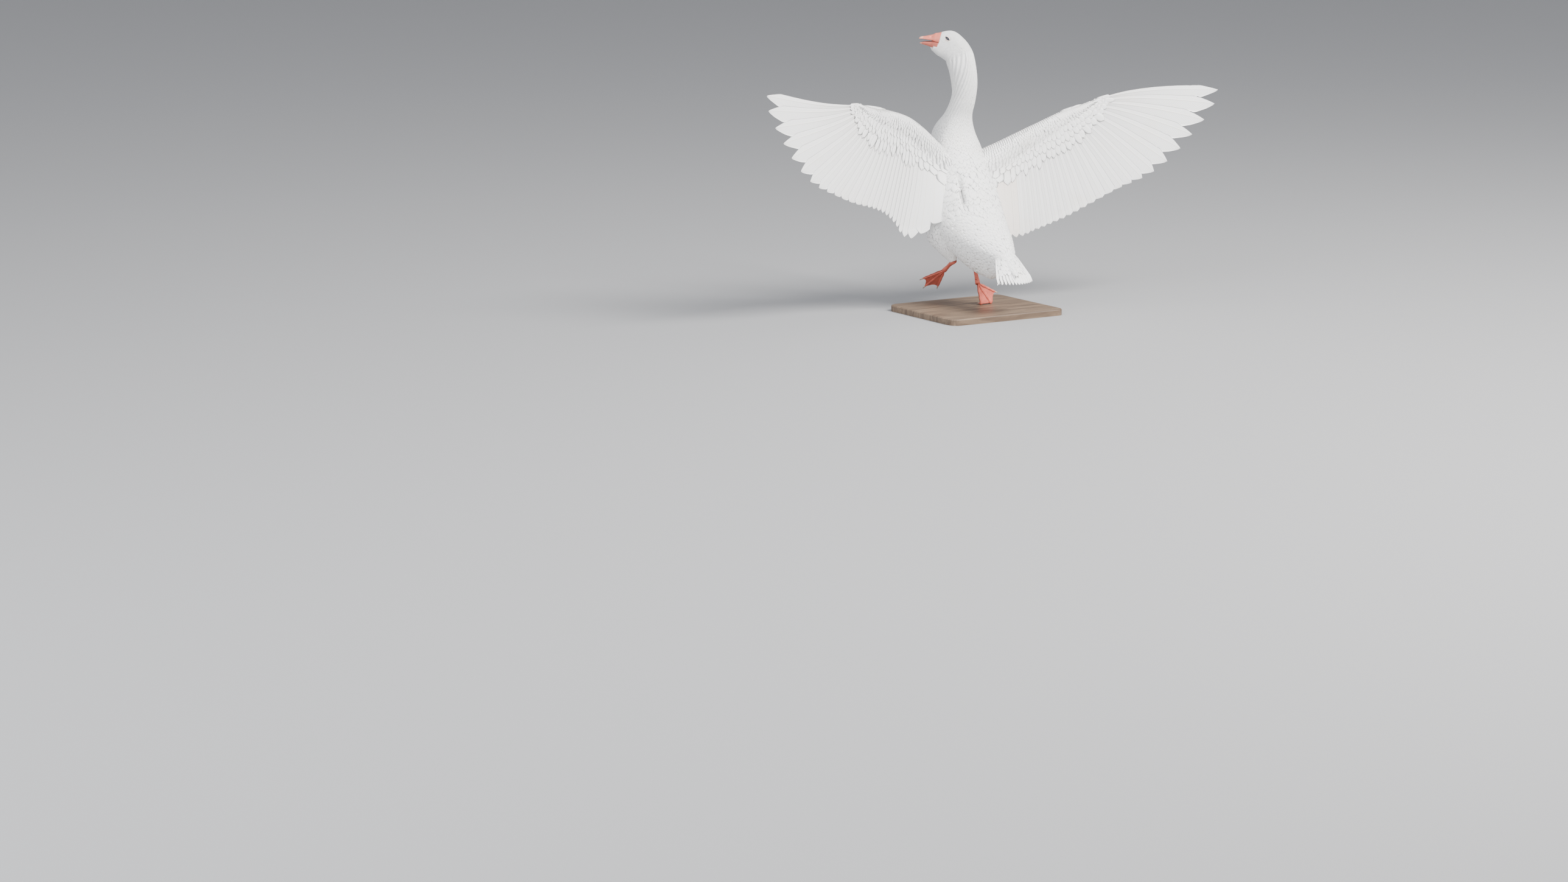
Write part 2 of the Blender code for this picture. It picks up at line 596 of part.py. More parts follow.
def make_leg(side_word, trunk_helper):
    """One leg: the feathered thigh out of the body, the bare shank, the foot and the raised hind toe."""
    hip, ankle, ball = (np.array(point) for point in LEG[side_word])
    bulge = np.array(THIGH_BULGE[side_word])
    knee = hip + (ankle - hip) * KNEE_SHARE + bulge
    calf = hip + (ankle - hip) * CALF_SHARE + bulge / 2
    path, radii = np.array([hip, knee, calf, ankle]), np.array(THIGH_RADII[side_word])
    thigh = tube("thigh_" + side_word, rings_along(path, radii, THIGH_SIDES, LEG_SIDE), FEATHER)
    cut(thigh, trunk_helper)
    path[-1] += unit(path[-1] - path[-2]) * GAP
    grown = rings_along(path, radii + GAP, THIGH_SIDES, LEG_SIDE)
    aim = unit(ball - ankle)
    start, end = ankle - aim * SHANK_OVERLAP, ball - aim * BALL_ROOM
    line, radii = np.array([start, (start + end) / 2, end]), np.array(SHANK_RADII)
    shank = tube("shank_" + side_word, rings_along(line, radii, SHANK_SIDES, LEG_SIDE), LEG_SKIN)
    cut(shank, tube("thigh_helper_" + side_word, grown, FEATHER))
    shank_helper = tube(
        "shank_helper_" + side_word, rings_along(line, radii + GAP, SHANK_SIDES, LEG_SIDE), LEG_SKIN
    )
    make_foot(side_word)
    make_hind_toe(side_word, shank_helper)


def make_base():
    """A plain flat base with rounded corners and eased edges, whose top is the ground's level."""
    width, depth, height = BASE_SIZE
    quarter = np.radians(np.linspace(0, 90, BASE_CORNER_STEPS))
    turn = np.concatenate([quarter + math.pi / 2 * k for k in range(4)])
    corner_x = np.repeat([1, -1, -1, 1], BASE_CORNER_STEPS) * (width / 2 - BASE_CORNER)
    corner_y = np.repeat([1, 1, -1, -1], BASE_CORNER_STEPS) * (depth / 2 - BASE_CORNER)
    levels = ((-height, BASE_CORNER), (-BASE_EDGE, BASE_CORNER), (0.0, BASE_CORNER - BASE_EDGE))
    rings = []
    for z, radius in levels:
        x = corner_x + radius * np.cos(turn) + BASE_CENTRE[0]
        y = corner_y + radius * np.sin(turn) + BASE_CENTRE[1]
        rings.append(np.column_stack([x, y, np.full(len(turn), z)]))
    tube("stand_base", np.array(rings), BOARD)


def centre_on_origin():
    """Moves every object so that the whole model's box stands centred on the origin."""
    bpy.context.view_layer.update()
    graph = bpy.context.evaluated_depsgraph_get()
    low, high = np.full(3, np.inf), np.full(3, -np.inf)
    for each in bpy.context.scene.objects:
        if each.type == "MESH" and not each.hide_render:
            mesh = each.evaluated_get(graph).to_mesh()
            points = np.empty(len(mesh.vertices) * 3)
            mesh.vertices.foreach_get("co", points)
            points = points.reshape(-1, 3)
            low, high = np.minimum(low, points.min(0)), np.maximum(high, points.max(0))
            each.evaluated_get(graph).to_mesh_clear()
    origin = bpy.data.objects.new("model_origin", None)
    bpy.context.collection.objects.link(origin)
    origin.location = (-(low[0] + high[0]) / 2, -(low[1] + high[1]) / 2, -low[2])
    for each in list(bpy.context.scene.objects):
        if each is not origin:
            each.parent = origin


def main():
    """Clears the scene and builds the goose on its base."""
    for each in list(bpy.data.objects):
        bpy.data.objects.remove(each)
    head, trunk_helper = make_body()
    make_eyes(head)
    make_bill()
    for word in ("left", "right"):
        make_wing(word, trunk_helper)
        make_leg(word, trunk_helper)
    make_tail(trunk_helper)
    trunk_helper.hide_render = True
    make_base()
    centre_on_origin()


main()
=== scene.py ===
"""The finish of a white domestic goose running with its wings spread: skin, feathers, bill, eyes, feet."""

import logging
import math
from dataclasses import dataclass, field, replace
from enum import Enum
from typing import Any, Protocol, Union

import bpy
import numpy as np
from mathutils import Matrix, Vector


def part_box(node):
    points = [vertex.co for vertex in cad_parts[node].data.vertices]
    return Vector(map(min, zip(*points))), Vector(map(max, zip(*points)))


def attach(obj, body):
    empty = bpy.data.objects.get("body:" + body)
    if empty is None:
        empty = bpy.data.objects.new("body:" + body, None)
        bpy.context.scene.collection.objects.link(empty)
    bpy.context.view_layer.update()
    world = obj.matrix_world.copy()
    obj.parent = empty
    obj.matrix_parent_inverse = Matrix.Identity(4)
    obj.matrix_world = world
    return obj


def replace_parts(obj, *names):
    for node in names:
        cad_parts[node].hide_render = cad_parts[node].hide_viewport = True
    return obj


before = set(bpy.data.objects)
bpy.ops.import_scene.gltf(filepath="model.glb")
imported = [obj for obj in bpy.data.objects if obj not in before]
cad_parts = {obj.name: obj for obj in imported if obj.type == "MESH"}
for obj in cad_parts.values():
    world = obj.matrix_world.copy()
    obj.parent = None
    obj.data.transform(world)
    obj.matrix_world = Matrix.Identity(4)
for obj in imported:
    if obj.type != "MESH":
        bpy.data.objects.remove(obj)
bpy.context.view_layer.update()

Array = np.ndarray
Material = bpy.types.Material
Point = tuple[float, float, float]
Sizes = tuple[float, ...]
Colour = tuple[float, float, float]
LOG = logging.getLogger("goose")

# The body from the rump to the face, one row a station: x, y, z of the middle, the heading to the goose's
# left, the pitch, the half width, and how far the surface rises to the back and falls to the belly.
BODY = np.array((
    (0.000, 0.160, 0.182, 0, 36, 0.046, 0.036, 0.100),
    (0.000, 0.102, 0.202, 0, 41, 0.076, 0.060, 0.113),
    (0.000, 0.040, 0.230, 0, 48, 0.100, 0.080, 0.112),
    (0.000, -0.020, 0.272, 0, 57, 0.116, 0.098, 0.114),
    (0.000, -0.050, 0.332, 0, 65, 0.115, 0.096, 0.112),
    (0.000, -0.074, 0.392, 0, 71, 0.106, 0.088, 0.104),
    (0.000, -0.090, 0.450, 0, 76, 0.092, 0.076, 0.094),
    (0.000, -0.100, 0.506, 0, 82, 0.082, 0.060, 0.118),
    (0.000, -0.103, 0.560, 4, 90, 0.062, 0.045, 0.105),
    (0.000, -0.093, 0.614, 12, 99, 0.046, 0.036, 0.051),
    (0.000, -0.074, 0.668, 24, 102, 0.041, 0.038, 0.036),
    (0.000, -0.058, 0.722, 38, 97, 0.040, 0.035, 0.049),
    (0.001, -0.053, 0.774, 50, 86, 0.038, 0.028, 0.060),
    (0.006, -0.059, 0.818, 55, 66, 0.034, 0.024, 0.066),
    (0.024, -0.073, 0.845, 55, 38, 0.031, 0.0265, 0.066),
    (0.047, -0.091, 0.857, 55, 18, 0.027, 0.032, 0.0615),
    (0.081, -0.1156, 0.861, 55, 15, 0.018, 0.020, 0.0445),
))
FACE = len(BODY) - 1.0

# A wing in its own plane, one row a feather count from the body outward: the count, the leading edge's
# outward and downward place, the lie from straight down, the reach, the bow, the flesh and half its
# thickness.
WING_ROWS = np.array((
    (0.0, 0.015, 0.006, -4, 0.235, 0.000, 0.080, 0.019),
    (2.5, 0.075, -0.018, 2, 0.300, 0.000, 0.078, 0.018),
    (5.0, 0.125, -0.040, 6, 0.330, 0.000, 0.074, 0.016),
    (8.0, 0.165, -0.058, 9, 0.326, 0.000, 0.068, 0.014),
    (12.0, 0.215, -0.080, 15, 0.312, 0.002, 0.060, 0.012),
    (16.0, 0.262, -0.101, 25, 0.310, 0.004, 0.054, 0.011),
    (19.0, 0.292, -0.114, 38, 0.322, 0.006, 0.048, 0.010),
    (22.5, 0.335, -0.128, 53, 0.356, 0.008, 0.038, 0.008),
    (25.5, 0.376, -0.140, 74, 0.386, 0.012, 0.028, 0.006),
    (28.5, 0.408, -0.150, 94, 0.424, 0.018, 0.018, 0.005),
    (29.0, 0.412, -0.153, 96, 0.416, 0.020, 0.014, 0.004),
))

# The first feather of each group and the one past its last, and the notch's depth by feather count.
FLIGHT_SPANS = {"tertials": (0, 5), "secondaries": (5, 19), "primaries": (19, 29)}
NOTCH_COUNTS = (0, 5, 6, 19, 22, 26, 29)
NOTCH_DEPTHS = (0.016, 0.016, 0.007, 0.007, 0.022, 0.062, 0.050)

# Where the board's middle stands, the coat's seed, a single tube's tone, the step that measures a slope,
# and a full turn.
BASE_MIDDLE = (0.0, 0.015)
COAT_SEED = 4711
EVEN_TONE = 0.5
NUDGE = 0.02
ROUND = 2 * math.pi


class Hand(Enum):
    """The two hands of the goose, and the way each lies along X."""

    LEFT = "left"
    RIGHT = "right"

    @property
    def sign(self) -> int:
        """One on the left and minus one on the right."""
        return 1 if self is Hand.LEFT else -1


class Face(Enum):
    """The two faces of a wing or a tail, and the way each lies from its middle."""

    UPPER = 1
    UNDER = -1


class Slot(Enum):
    """The material slots that the pieces' finishes belong to."""

    FEATHER = "feather"
    FLIGHT = "flight_feather"
    BILL = "bill"
    MOUTH = "mouth"
    EYE = "eye"
    LEG = "leg_skin"
    CLAW = "claw"
    BASE = "base_board"


def curve_through(knots: Array, rows: Array, at: Array) -> Array:
    """A smooth curve through rows of numbers: cubic Hermite pieces, with each slope that of its neighbours.

    Args:
        knots: Where each row stands.
        rows: The rows of numbers.
        at: Where the curve is wanted, held between the first and the last knot.

    Returns:
        One row for each of the wanted places.
    """
    at = np.clip(at, knots[0], knots[-1])
    slopes = np.gradient(rows, knots, axis=0)
    left = np.clip(np.searchsorted(knots, at, side="right") - 1, 0, len(knots) - 2)
    step = (knots[left + 1] - knots[left])[..., None]
    t = (at - knots[left])[..., None] / step
    return (
        (2 * t**3 - 3 * t**2 + 1) * rows[left]
        + (t**3 - 2 * t**2 + t) * step * slopes[left]
        + (3 * t**2 - 2 * t**3) * rows[left + 1]
        + (t**3 - t**2) * step * slopes[left + 1]
    )


def unit(vectors: Array) -> Array:
    """The vectors at length one."""
    return vectors / np.maximum(np.linalg.norm(vectors, axis=-1, keepdims=True), 1e-12)


def rise(low: float, high: float, at: Array) -> Array:
    """Smooth step: nothing below low, one above high, and 3t^2 - 2t^3 between."""
    t = np.clip((at - low) / (high - low), 0, 1)
    return t * t * (3 - 2 * t)


def hump(ends: Sizes, at: Array) -> Array:
    """Rises between the first two of four ends and falls between the last two."""
    return rise(ends[0], ends[1], at) * (1 - rise(ends[2], ends[3], at))


def bell(at: Array, middle: Union[Array, float], width: float) -> Array:
    """A bell of height one: exp(-((at - middle) / width)^2)."""
    return np.exp(-(((at - middle) / width) ** 2))


def full_turn(count: int) -> Array:
    """Angles an equal step apart round a full turn."""
    return np.arange(count) / count * ROUND


def grid(first: Array, second: Array) -> list[Array]:
    """Two grids of numbers: the first runs down the rows, the second along them."""
    return np.meshgrid(first, second, indexing="ij")


def pair(first: Array, second: Array) -> Array:
    """Two numbers at each place, on a last axis of two."""
    return np.stack(np.broadcast_arrays(first, second), axis=-1)


def beside(column: Array, other: Array) -> Array:
    """A column of one number a root, with as many axes as the other array."""
    return column.reshape(column.shape + (1,) * (other.ndim - 1))


def quads_of(rows: int, columns: int) -> Array:
    """The corners of a grid's faces, as (faces, 4)."""
    i, j = grid(np.arange(rows - 1), np.arange(columns - 1))
    return (i * columns + j).reshape(-1, 1) + np.array([0, columns, columns + 1, 1])


def ring_roots(ring: Array, turn: Array, place: float, gap: float, row: int) -> Array:
    """Roots an equal arc apart on one ring, every second ring's staggered.

    Args:
        ring: Points round the ring.
        turn: Their angles.
        place: The ring's own place, which comes first in each root.
        gap: The wanted distance between roots.
        row: The ring's number.

    Returns:
        The roots as (count, 2).
    """
    arc = np.concatenate([[0], np.cumsum(np.linalg.norm(np.diff(ring, axis=0), axis=1))])
    count = max(int(arc[-1] / gap), 6)
    at = (np.arange(count) + 0.5 * (row % 2)) / count * arc[-1]
    return np.column_stack([np.full(count, place), np.interp(at, arc, turn)])


@dataclass
class Piece:
    """Points and faces gathered from arrays, with their maps, and made into one mesh object."""

    name: str
    points: list[Array] = field(default_factory=list)
    faces: list[Array] = field(default_factory=list)
    vane: list[Array] = field(default_factory=list)
    bake: list[Array] = field(default_factory=list)
    tone: list[Array] = field(default_factory=list)
    count: int = 0

    def add_loops(self, rings: Array, vane: Array, bake: Array, tone: Array) -> None:
        """Adds tubes: each item's rings joined by quads, with a flat face at either end.

        Args:
            rings: Points as (items, rings, points round, 3).
            vane: The map along and across each tube, as (items, rings, points round, 2).
            bake: The baking map, as (items, rings, points round, 2).
            tone: A number for each item.
        """
        items, sections, sides = rings.shape[:3]
        base = self.count + np.arange(items)[:, None, None] * sections * sides
        i = np.arange(sections - 1)[None, :, None] * sides
        j = np.arange(sides)[None, None, :]
        k = (j + 1) % sides
        quads = np.stack([base + i + j, base + i + k, base + i + sides + k, base + i + sides + j], axis=-1)
        self.faces.append(quads.reshape(-1, 4))
        ends = base[:, 0] + np.arange(sides)[None]
        self.faces += [ends[:, ::-1], ends + (sections - 1) * sides]
        self._take(rings, vane, bake, np.repeat(tone, sections * sides))

    @classmethod
    def tube(cls, name: str, points: Array, chart: Array) -> "Piece":
        """A piece of one closed tube, with one map for its finish and for baking.

        Args:
            name: Its name.
            points: Its rings, as (rings, points round, 3).
            chart: Their map.

        Returns:
            The piece.
        """
        piece = cls(name)
        piece.add_loops(points[None], chart[None], chart[None], np.full(1, EVEN_TONE))
        return piece

    def add_torus(self, points: Array, vane: Array) -> None:
        """Adds a surface that closes on itself both ways.

        Args:
            points: Its points, as (around, across, 3).
            vane: Their map.
        """
        rows, columns = points.shape[:2]
        i, j = grid(np.arange(rows), np.arange(columns))
        down, right = (i + 1) % rows, (j + 1) % columns
        here, below = i * columns, down * columns
        quads = np.stack([here + j, below + j, below + right, here + right], -1)
        self.faces.append(self.count + quads.reshape(-1, 4))
        self._take(points, vane, vane, np.full(rows * columns, EVEN_TONE))

    def add_slab(self, upper: Array, lower: Array, vane: Array, bake_upper: Array, bake_lower: Array,
                 tone: float) -> None:
        """Adds a closed plate between two grids of points: both grids in quads, and quads round the rim.

        Args:
            upper: The upper grid, as (rows, columns, 3).
            lower: The lower grid.
            vane: The map of either grid.
            bake_upper: The upper grid's baking map.
            bake_lower: The lower grid's baking map.
            tone: The plate's number.
        """
        rows, columns = upper.shape[:2]
        under = rows * columns
        quads = quads_of(rows, columns)
        at = np.arange(under).reshape(rows, columns)
        rim = np.concatenate([at[:, 0], at[-1, 1:], at[-2::-1, -1], at[0, -2:0:-1]])
        after = np.roll(rim, -1)
        walls = np.stack([rim, under + rim, under + after, after], -1)
        self.faces.append(self.count + np.concatenate([quads, under + quads[:, ::-1], walls[:, ::-1]]))
        both = np.concatenate([upper.reshape(-1, 3), lower.reshape(-1, 3)])
        twice = np.concatenate([vane.reshape(-1, 2)] * 2)
        bake = np.concatenate([bake_upper.reshape(-1, 2), bake_lower.reshape(-1, 2)])
        self._take(both, twice, bake, np.full(2 * under, tone))

    def _take(self, points: Array, vane: Array, bake: Array, tone: Array) -> None:
        """Keeps the points and their maps.

        Args:
            points: Points of any shape.
            vane: Their map.
            bake: Their baking map.
            tone: Their numbers.
        """
        self.points.append(points.reshape(-1, 3))
        self.vane.append(np.broadcast_to(vane, points.shape[:-1] + (2,)).reshape(-1, 2))
        self.bake.append(np.broadcast_to(bake, points.shape[:-1] + (2,)).reshape(-1, 2))
        self.tone.append(tone)
        self.count += points.size // 3

    def build(self, finish: Material, slot: Slot) -> bpy.types.Object:
        """Makes the object and lets it ride on the body.

        Args:
            finish: The piece's material.
            slot: The slot that the finish belongs to; not used.

        Returns:
            The mesh object, standing at the origin.
        """
        made = self.mesh_object(finish)
        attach(made, "root")
        LOG.info("%s: %d faces", self.name, len(made.data.polygons))
        return made

    def mesh_object(self, finish: Material) -> bpy.types.Object:
        """The mesh object, with its faces outward and shaded smooth.

        Args:
            finish: The piece's material.

        Returns:
            The object.
        """
        points = np.concatenate(self.points)
        corners = np.concatenate([face.reshape(-1) for face in self.faces])
        sides = np.concatenate([np.full(len(face), face.shape[1]) for face in self.faces])
        starts = np.concatenate([[0], np.cumsum(sides)[:-1]])
        first, second, third = (points[corners[starts + step]] for step in range(3))
        if np.einsum("ij,ij->", first, np.cross(second, third)) < 0:
            corners = np.concatenate([face[:, ::-1].reshape(-1) for face in self.faces])
        mesh = bpy.data.meshes.new(self.name)
        mesh.vertices.add(len(points))
        mesh.vertices.foreach_set("co", points.astype(np.float32).ravel())
        mesh.loops.add(len(corners))
        mesh.loops.foreach_set("vertex_index", corners.astype(np.int32))
        mesh.polygons.add(len(starts))
        mesh.polygons.foreach_set("loop_start", starts.astype(np.int32))
        mesh.update(calc_edges=True)
        for name, chart in (("OFBake", self.bake), ("Vane", self.vane)):
            layer = mesh.uv_layers.new(name=name)
            layer.data.foreach_set("uv", np.concatenate(chart)[corners].astype(np.float32).ravel())
        tone = mesh.attributes.new("tone", "FLOAT", "POINT")
        tone.data.foreach_set("value", np.concatenate(self.tone).astype(np.float32))
        mesh.validate()
        mesh.shade_smooth()
        mesh.materials.append(finish)
        made = bpy.data.objects.new(self.name, mesh)
        bpy.context.collection.objects.link(made)
        return made


class Form(Protocol):
    """A surface on which feathers are laid: a root, and the place along, across and above it."""

    def place(self, root: Array, along: Array, across: Array, height: Array) -> Array:
        """Points at metres along the lie, across it and above the surface, from each root."""

    def chart(self, root: Array) -> Array:
        """The root's place on the unwrap, between nothing and one."""


@dataclass(frozen=True)
class BodyForm:
    """The trunk, neck and head as one surface: a flattened round of its own at each station.

    A point is middle + half_width cos(angle) side + size sin(angle) back, where size is the rise above and
    the fall below, and each size grows by the height wanted.
    """

    shift: Point
    rump_step: float = 0.060
    rump_taper: float = 1.1
    muzzle_step: float = 0.022
    chin_drop: float = 0.0170
    furrows: int = 24
    furrow_depth: float = 0.0014
    furrow_twist: float = 3.2
    groove_depth: float = 0.016
    groove_angle: float = 0.96
    groove_width: float = 0.060
    groove_clear: float = 0.085
    furrow_ends: Sizes = (8.6, 9.6, 12.6, 13.4)
    groove_ends: Sizes = (3.2, 3.9, 4.8, 5.6)
    groove_open: tuple[float, float] = (3.7, 5.3)
    chin_from: float = 0.17
    chin_wedge: tuple[float, float] = (0.0045, 0.0115)
    muzzle_from: float = 0.15
    muzzle_narrow: tuple[float, float] = (0.0082, 0.013)

    def sections(self, station: Array) -> tuple[Array, Array, Array, Array, Array]:
        """The middle, forward line, side, back and sizes at stations.

        Args:
            station: Stations in a flat array. Below nothing the rump tapers, past the last the face closes.

        Returns:
            Five arrays with one row a station.
        """
        rows = curve_through(np.arange(len(BODY)), BODY, station)
        heading, pitch = np.radians(rows[:, 3]), np.radians(rows[:, 4])
        level = np.cos(pitch)
        forward = np.stack([np.sin(heading) * level, -np.cos(heading) * level, np.sin(pitch)], axis=1)
        side = np.stack([np.cos(heading), np.sin(heading), np.zeros_like(heading)], axis=1)
        behind, ahead = np.clip(-station, 0, None), np.clip(station - FACE, 0, 0.5)
        reach = ahead * self.muzzle_step - behind * self.rump_step
        back = np.cross(forward, side)
        sizes = rows[:, 5:] * np.exp(-self.rump_taper * behind)[:, None]
        sunk = self.chin_drop * rise(0.0, self.chin_from, ahead)
        near, far = self.chin_wedge
        wedge = near * rise(FACE - 0.5, FACE, station) + far * (2 * ahead) ** 1.2
        near, far = self.muzzle_narrow
        narrow = near * rise(0.0, self.muzzle_from, ahead) + far * ahead
        less = np.stack([narrow, 0.9 * sunk, sunk + wedge], axis=1)
        middle = rows[:, :3] + forward * reach[:, None] - back * sunk[:, None] + np.array(self.shift)
        return middle, forward, side, back, np.maximum(sizes - less, 0.001)

    def relief(self, station: Array, angle: Array) -> Array:
        """Height of the neck's furrows, cosines round the neck that wind slowly, and of the back's groove.

        Args:
            station: Stations along the body.
            angle: Angles round it.

        Returns:
            The heights in metres.
        """
        neck = hump(self.furrow_ends, station)
        from_front = np.abs(np.mod(angle + math.pi / 2 + math.pi, ROUND) - math.pi)
        furrow = np.cos(self.furrows * from_front - self.furrow_twist * station)
        back = hump(self.groove_ends, station)
        groove = bell(np.mod(angle, ROUND), self.groove_angle, self.groove_width)
        return self.furrow_depth * neck * furrow - self.groove_depth * back * groove

    def point(self, station: Array, angle: Array, height: Array) -> Array:
        """Points on the surface, in any matching shape, lifted by a height.

        Args:
            station: Stations along the body.
            angle: Angles round it, from the left side over the back.
            height: Metres above the surface.

        Returns:
            The points, with a last axis of three.
        """
        station, angle, height = np.broadcast_arrays(station, angle, height)
        middle, _, side, back, sizes = self.sections(station.reshape(-1))
        turn = angle.reshape(-1)
        lift = height.reshape(-1) + self.relief(station.reshape(-1), turn)
        tall = np.where(np.sin(turn) > 0, sizes[:, 1], sizes[:, 2])
        across = np.maximum(sizes[:, 0] + lift, 0.001) * np.cos(turn)
        up = np.maximum(tall + lift, 0.001) * np.sin(turn)
        return (middle + across[:, None] * side + up[:, None] * back).reshape(station.shape + (3,))

    def scale(self, station: Array, angle: Array) -> tuple[Array, Array]:
        """Metres for one station and for one radian, from small steps either way.

        Args:
            station: Stations.
            angle: Angles.

        Returns:
            The two lengths in metres.
        """
        along = self.point(station + NUDGE, angle, 0.0) - self.point(station - NUDGE, angle, 0.0)
        round_ = self.point(station, angle + NUDGE, 0.0) - self.point(station, angle - NUDGE, 0.0)
        return np.linalg.norm(along, axis=-1) / (2 * NUDGE), np.linalg.norm(round_, axis=-1) / (2 * NUDGE)

    def place(self, root: Array, along: Array, across: Array, height: Array) -> Array:
        """Points from roots (station, angle): along runs to the tail, across runs round the body.

        Args:
            root: The roots.
            along: Metres along the lie.
            across: Metres across it.
            height: Metres above.

        Returns:
            The points.
        """
        per_station, per_radian = self.scale(root[:, 0], root[:, 1])
        station = beside(root[:, 0], along) - along / beside(np.maximum(per_station, 0.012), along)
        angle = beside(root[:, 1], along) + across / beside(np.maximum(per_radian, 0.010), along)
        return self.point(station, angle, height)

    def chart(self, root: Array) -> Array:
        """Angle across and station up the unwrap."""
        return pair(np.mod(root[:, 1] / ROUND, 1), (root[:, 0] + 2) / (FACE + 3))

    def outward(self, station: float, angle: float) -> tuple[Array, Array, Array]:
        """The surface's outward, forward and upward lines at one place.

        Args:
            station: The place's station.
            angle: Its angle.

        Returns:
            The three lines, each of length one.
        """
        at, turn = np.array([station]), np.array([angle])
        forward = unit(self.point(at + NUDGE, turn, 0.0)[0] - self.point(at - NUDGE, turn, 0.0)[0])
        upward = self.point(at, turn + NUDGE, 0.0)[0] - self.point(at, turn - NUDGE, 0.0)[0]
        upward = upward * (1 if math.cos(angle) > 0 else -1)
        side = self.point(at, turn, 0.0)[0] - self.sections(at)[0][0]
        out = unit(np.cross(forward, upward))
        out = out * (1 if out @ side > 0 else -1)
        upward = unit(upward - forward * (upward @ forward))
        return out, forward, upward


@dataclass(frozen=True)
class WingForm:
    """One wing as a surface: feather counts outward, metres of reach from its leading edge, and height.

    Each feather count has a straight line of reach in the wing's plane. The plane is then raised, humped,
    turned to its heading and bellied by a sine of the reach's share, as the solids are.
    """

    hand: Hand
    shift: Point
    shoulder: Point
    heading: float
    raised: float
    hump: float
    bow: float
    tertial_extra: float
    tertial_loss: float
    secondary_extra: float
    hump_place: tuple[float, float] = (0.16, 0.14)
    camber: float = 0.055
    tip_bend: float = 0.035
    root_sweep: float = 0.60
    root_width: float = 0.22
    edge_half: float = 0.0020
    vane_root: float = 0.0035
    vane_tip: float = 0.0010

    def rows(self, feather: Array) -> Array:
        """The wing's sizes at feather counts, the last axis holding a row but for its count."""
        return curve_through(WING_ROWS[:, 0], WING_ROWS[:, 1:], feather)

    def reach_to_tip(self, feather: Array) -> Array:
        """The reach of the feathers' tips: the rows' own, two bells of more, and a loss towards the body.

        Args:
            feather: Feather counts.

        Returns:
            Metres from the leading edge.
        """
        extra = self.tertial_extra * bell(feather, 4.5, 3.0) + self.secondary_extra * bell(feather, 13.0, 5.0)
        extra = extra - self.tertial_loss * np.clip(1 - feather / 4.0, 0, 1)
        return self.rows(feather)[..., 3] + extra

    def point(self, feather: Array, reach: Array, shift: Array, height: Array) -> Array:
        """Points of the wing.

        Args:
            feather: Feather counts.
            reach: Metres back from the leading edge.
            shift: Metres across the feather's line, outward.
            height: Metres above the wing's middle sheet, to its upper face.

        Returns:
            The points, with a last axis of three.
        """
        feather, reach, shift, height = np.broadcast_arrays(feather, reach, shift, height)
        lead_p, lead_q, lie, length, bow = np.moveaxis(self.rows(feather), -1, 0)[:5]
        lie = np.radians(lie)
        share = np.clip(reach / length, 0, 1.1)
        bend = self.bow * bow * np.sin(math.pi * np.clip(share, 0, 1) ** 0.8)
        p = lead_p + np.sin(lie) * reach + np.cos(lie) * (shift + bend)
        q = lead_q + np.cos(lie) * reach - np.sin(lie) * (shift + bend)
        turn = math.radians(self.raised)
        along = p * math.cos(turn) + q * math.sin(turn)
        down = q * math.cos(turn) - p * math.sin(turn) - self.hump * bell(along, *self.hump_place)
        bulge = self.camber * length * np.sin(math.pi * np.clip(share, 0, 1) ** 0.7) * np.exp(-along / 0.5)
        bulge = bulge + self.tip_bend * (np.clip(along, 0, None) / 0.8) ** 2
        near = np.clip(1 - along / self.root_width, 0, 1) ** 2
        bulge = bulge + self.root_sweep * near * np.clip(down, 0, None) + height
        heading = math.radians(self.heading)
        sign = self.hand.sign
        out = np.array([sign * math.cos(heading), math.sin(heading), 0.0])
        face = np.array([-sign * math.sin(heading), math.cos(heading), 0.0])
        up = np.array([0, 0, 1.0])
        start = np.array(self.shoulder) + np.array(self.shift)
        return start + along[..., None] * out - down[..., None] * up + bulge[..., None] * face

    def half(self, feather: Array, reach: Array) -> Array:
        """Half the wing's thickness: the flesh's sine over its depth, then a straight taper to the tips.

        Args:
            feather: Feather counts.
            reach: Metres from the leading edge.

        Returns:
            Half thicknesses in metres.
        """
        rows = self.rows(feather)
        flesh, thick = rows[..., 5], rows[..., 6]
        share = np.clip(reach / flesh, 0, 1)
        arm = self.edge_half + share * (self.vane_root - self.edge_half)
        arm = arm + thick * np.sin(math.pi * share**0.6) ** 0.9
        past = np.clip((reach - flesh) / (self.reach_to_tip(feather) - flesh), 0, 1)
        return arm + past * (self.vane_tip - self.vane_root)

    def gap_between(self, feather: Array, reach: Array) -> Array:
        """Metres between the lines of two neighbouring feathers at a reach."""
        step = self.point(feather + 0.5, reach, 0.0, 0.0) - self.point(feather - 0.5, reach, 0.0, 0.0)
        return np.linalg.norm(step, axis=-1)

    def chart(self, root: Array) -> Array:
        """Feather count across and reach up the unwrap."""
        return pair(0.04 + 0.92 * root[:, 0] / 30, 0.05 + 0.9 * np.clip(root[:, 1] / 0.45, 0, 1))


@dataclass(frozen=True)
class WingFace:
    """One face of a wing, as a form that coverts are laid on."""

    wing: WingForm
    face: Face

    def place(self, root: Array, along: Array, across: Array, height: Array) -> Array:
        """Points from roots (feather count, reach), above this face.

        Args:
            root: The roots.
            along: Metres backward.
            across: Metres outward.
            height: Metres above.

        Returns:
            The points.
        """
        reach = beside(root[:, 1], along) + along
        feather = np.broadcast_to(beside(root[:, 0], along), reach.shape)
        above = self.wing.half(feather, np.maximum(reach, 0)) + height
        return self.wing.point(feather, reach, across, self.face.value * above)

    def chart(self, root: Array) -> Array:
        """The wing's unwrap, its two faces side by side."""
        flat = self.wing.chart(root)
        return flat * np.array([1.0, 0.5]) + np.array([0.0, 0.5 if self.face is Face.UPPER else 0.0])


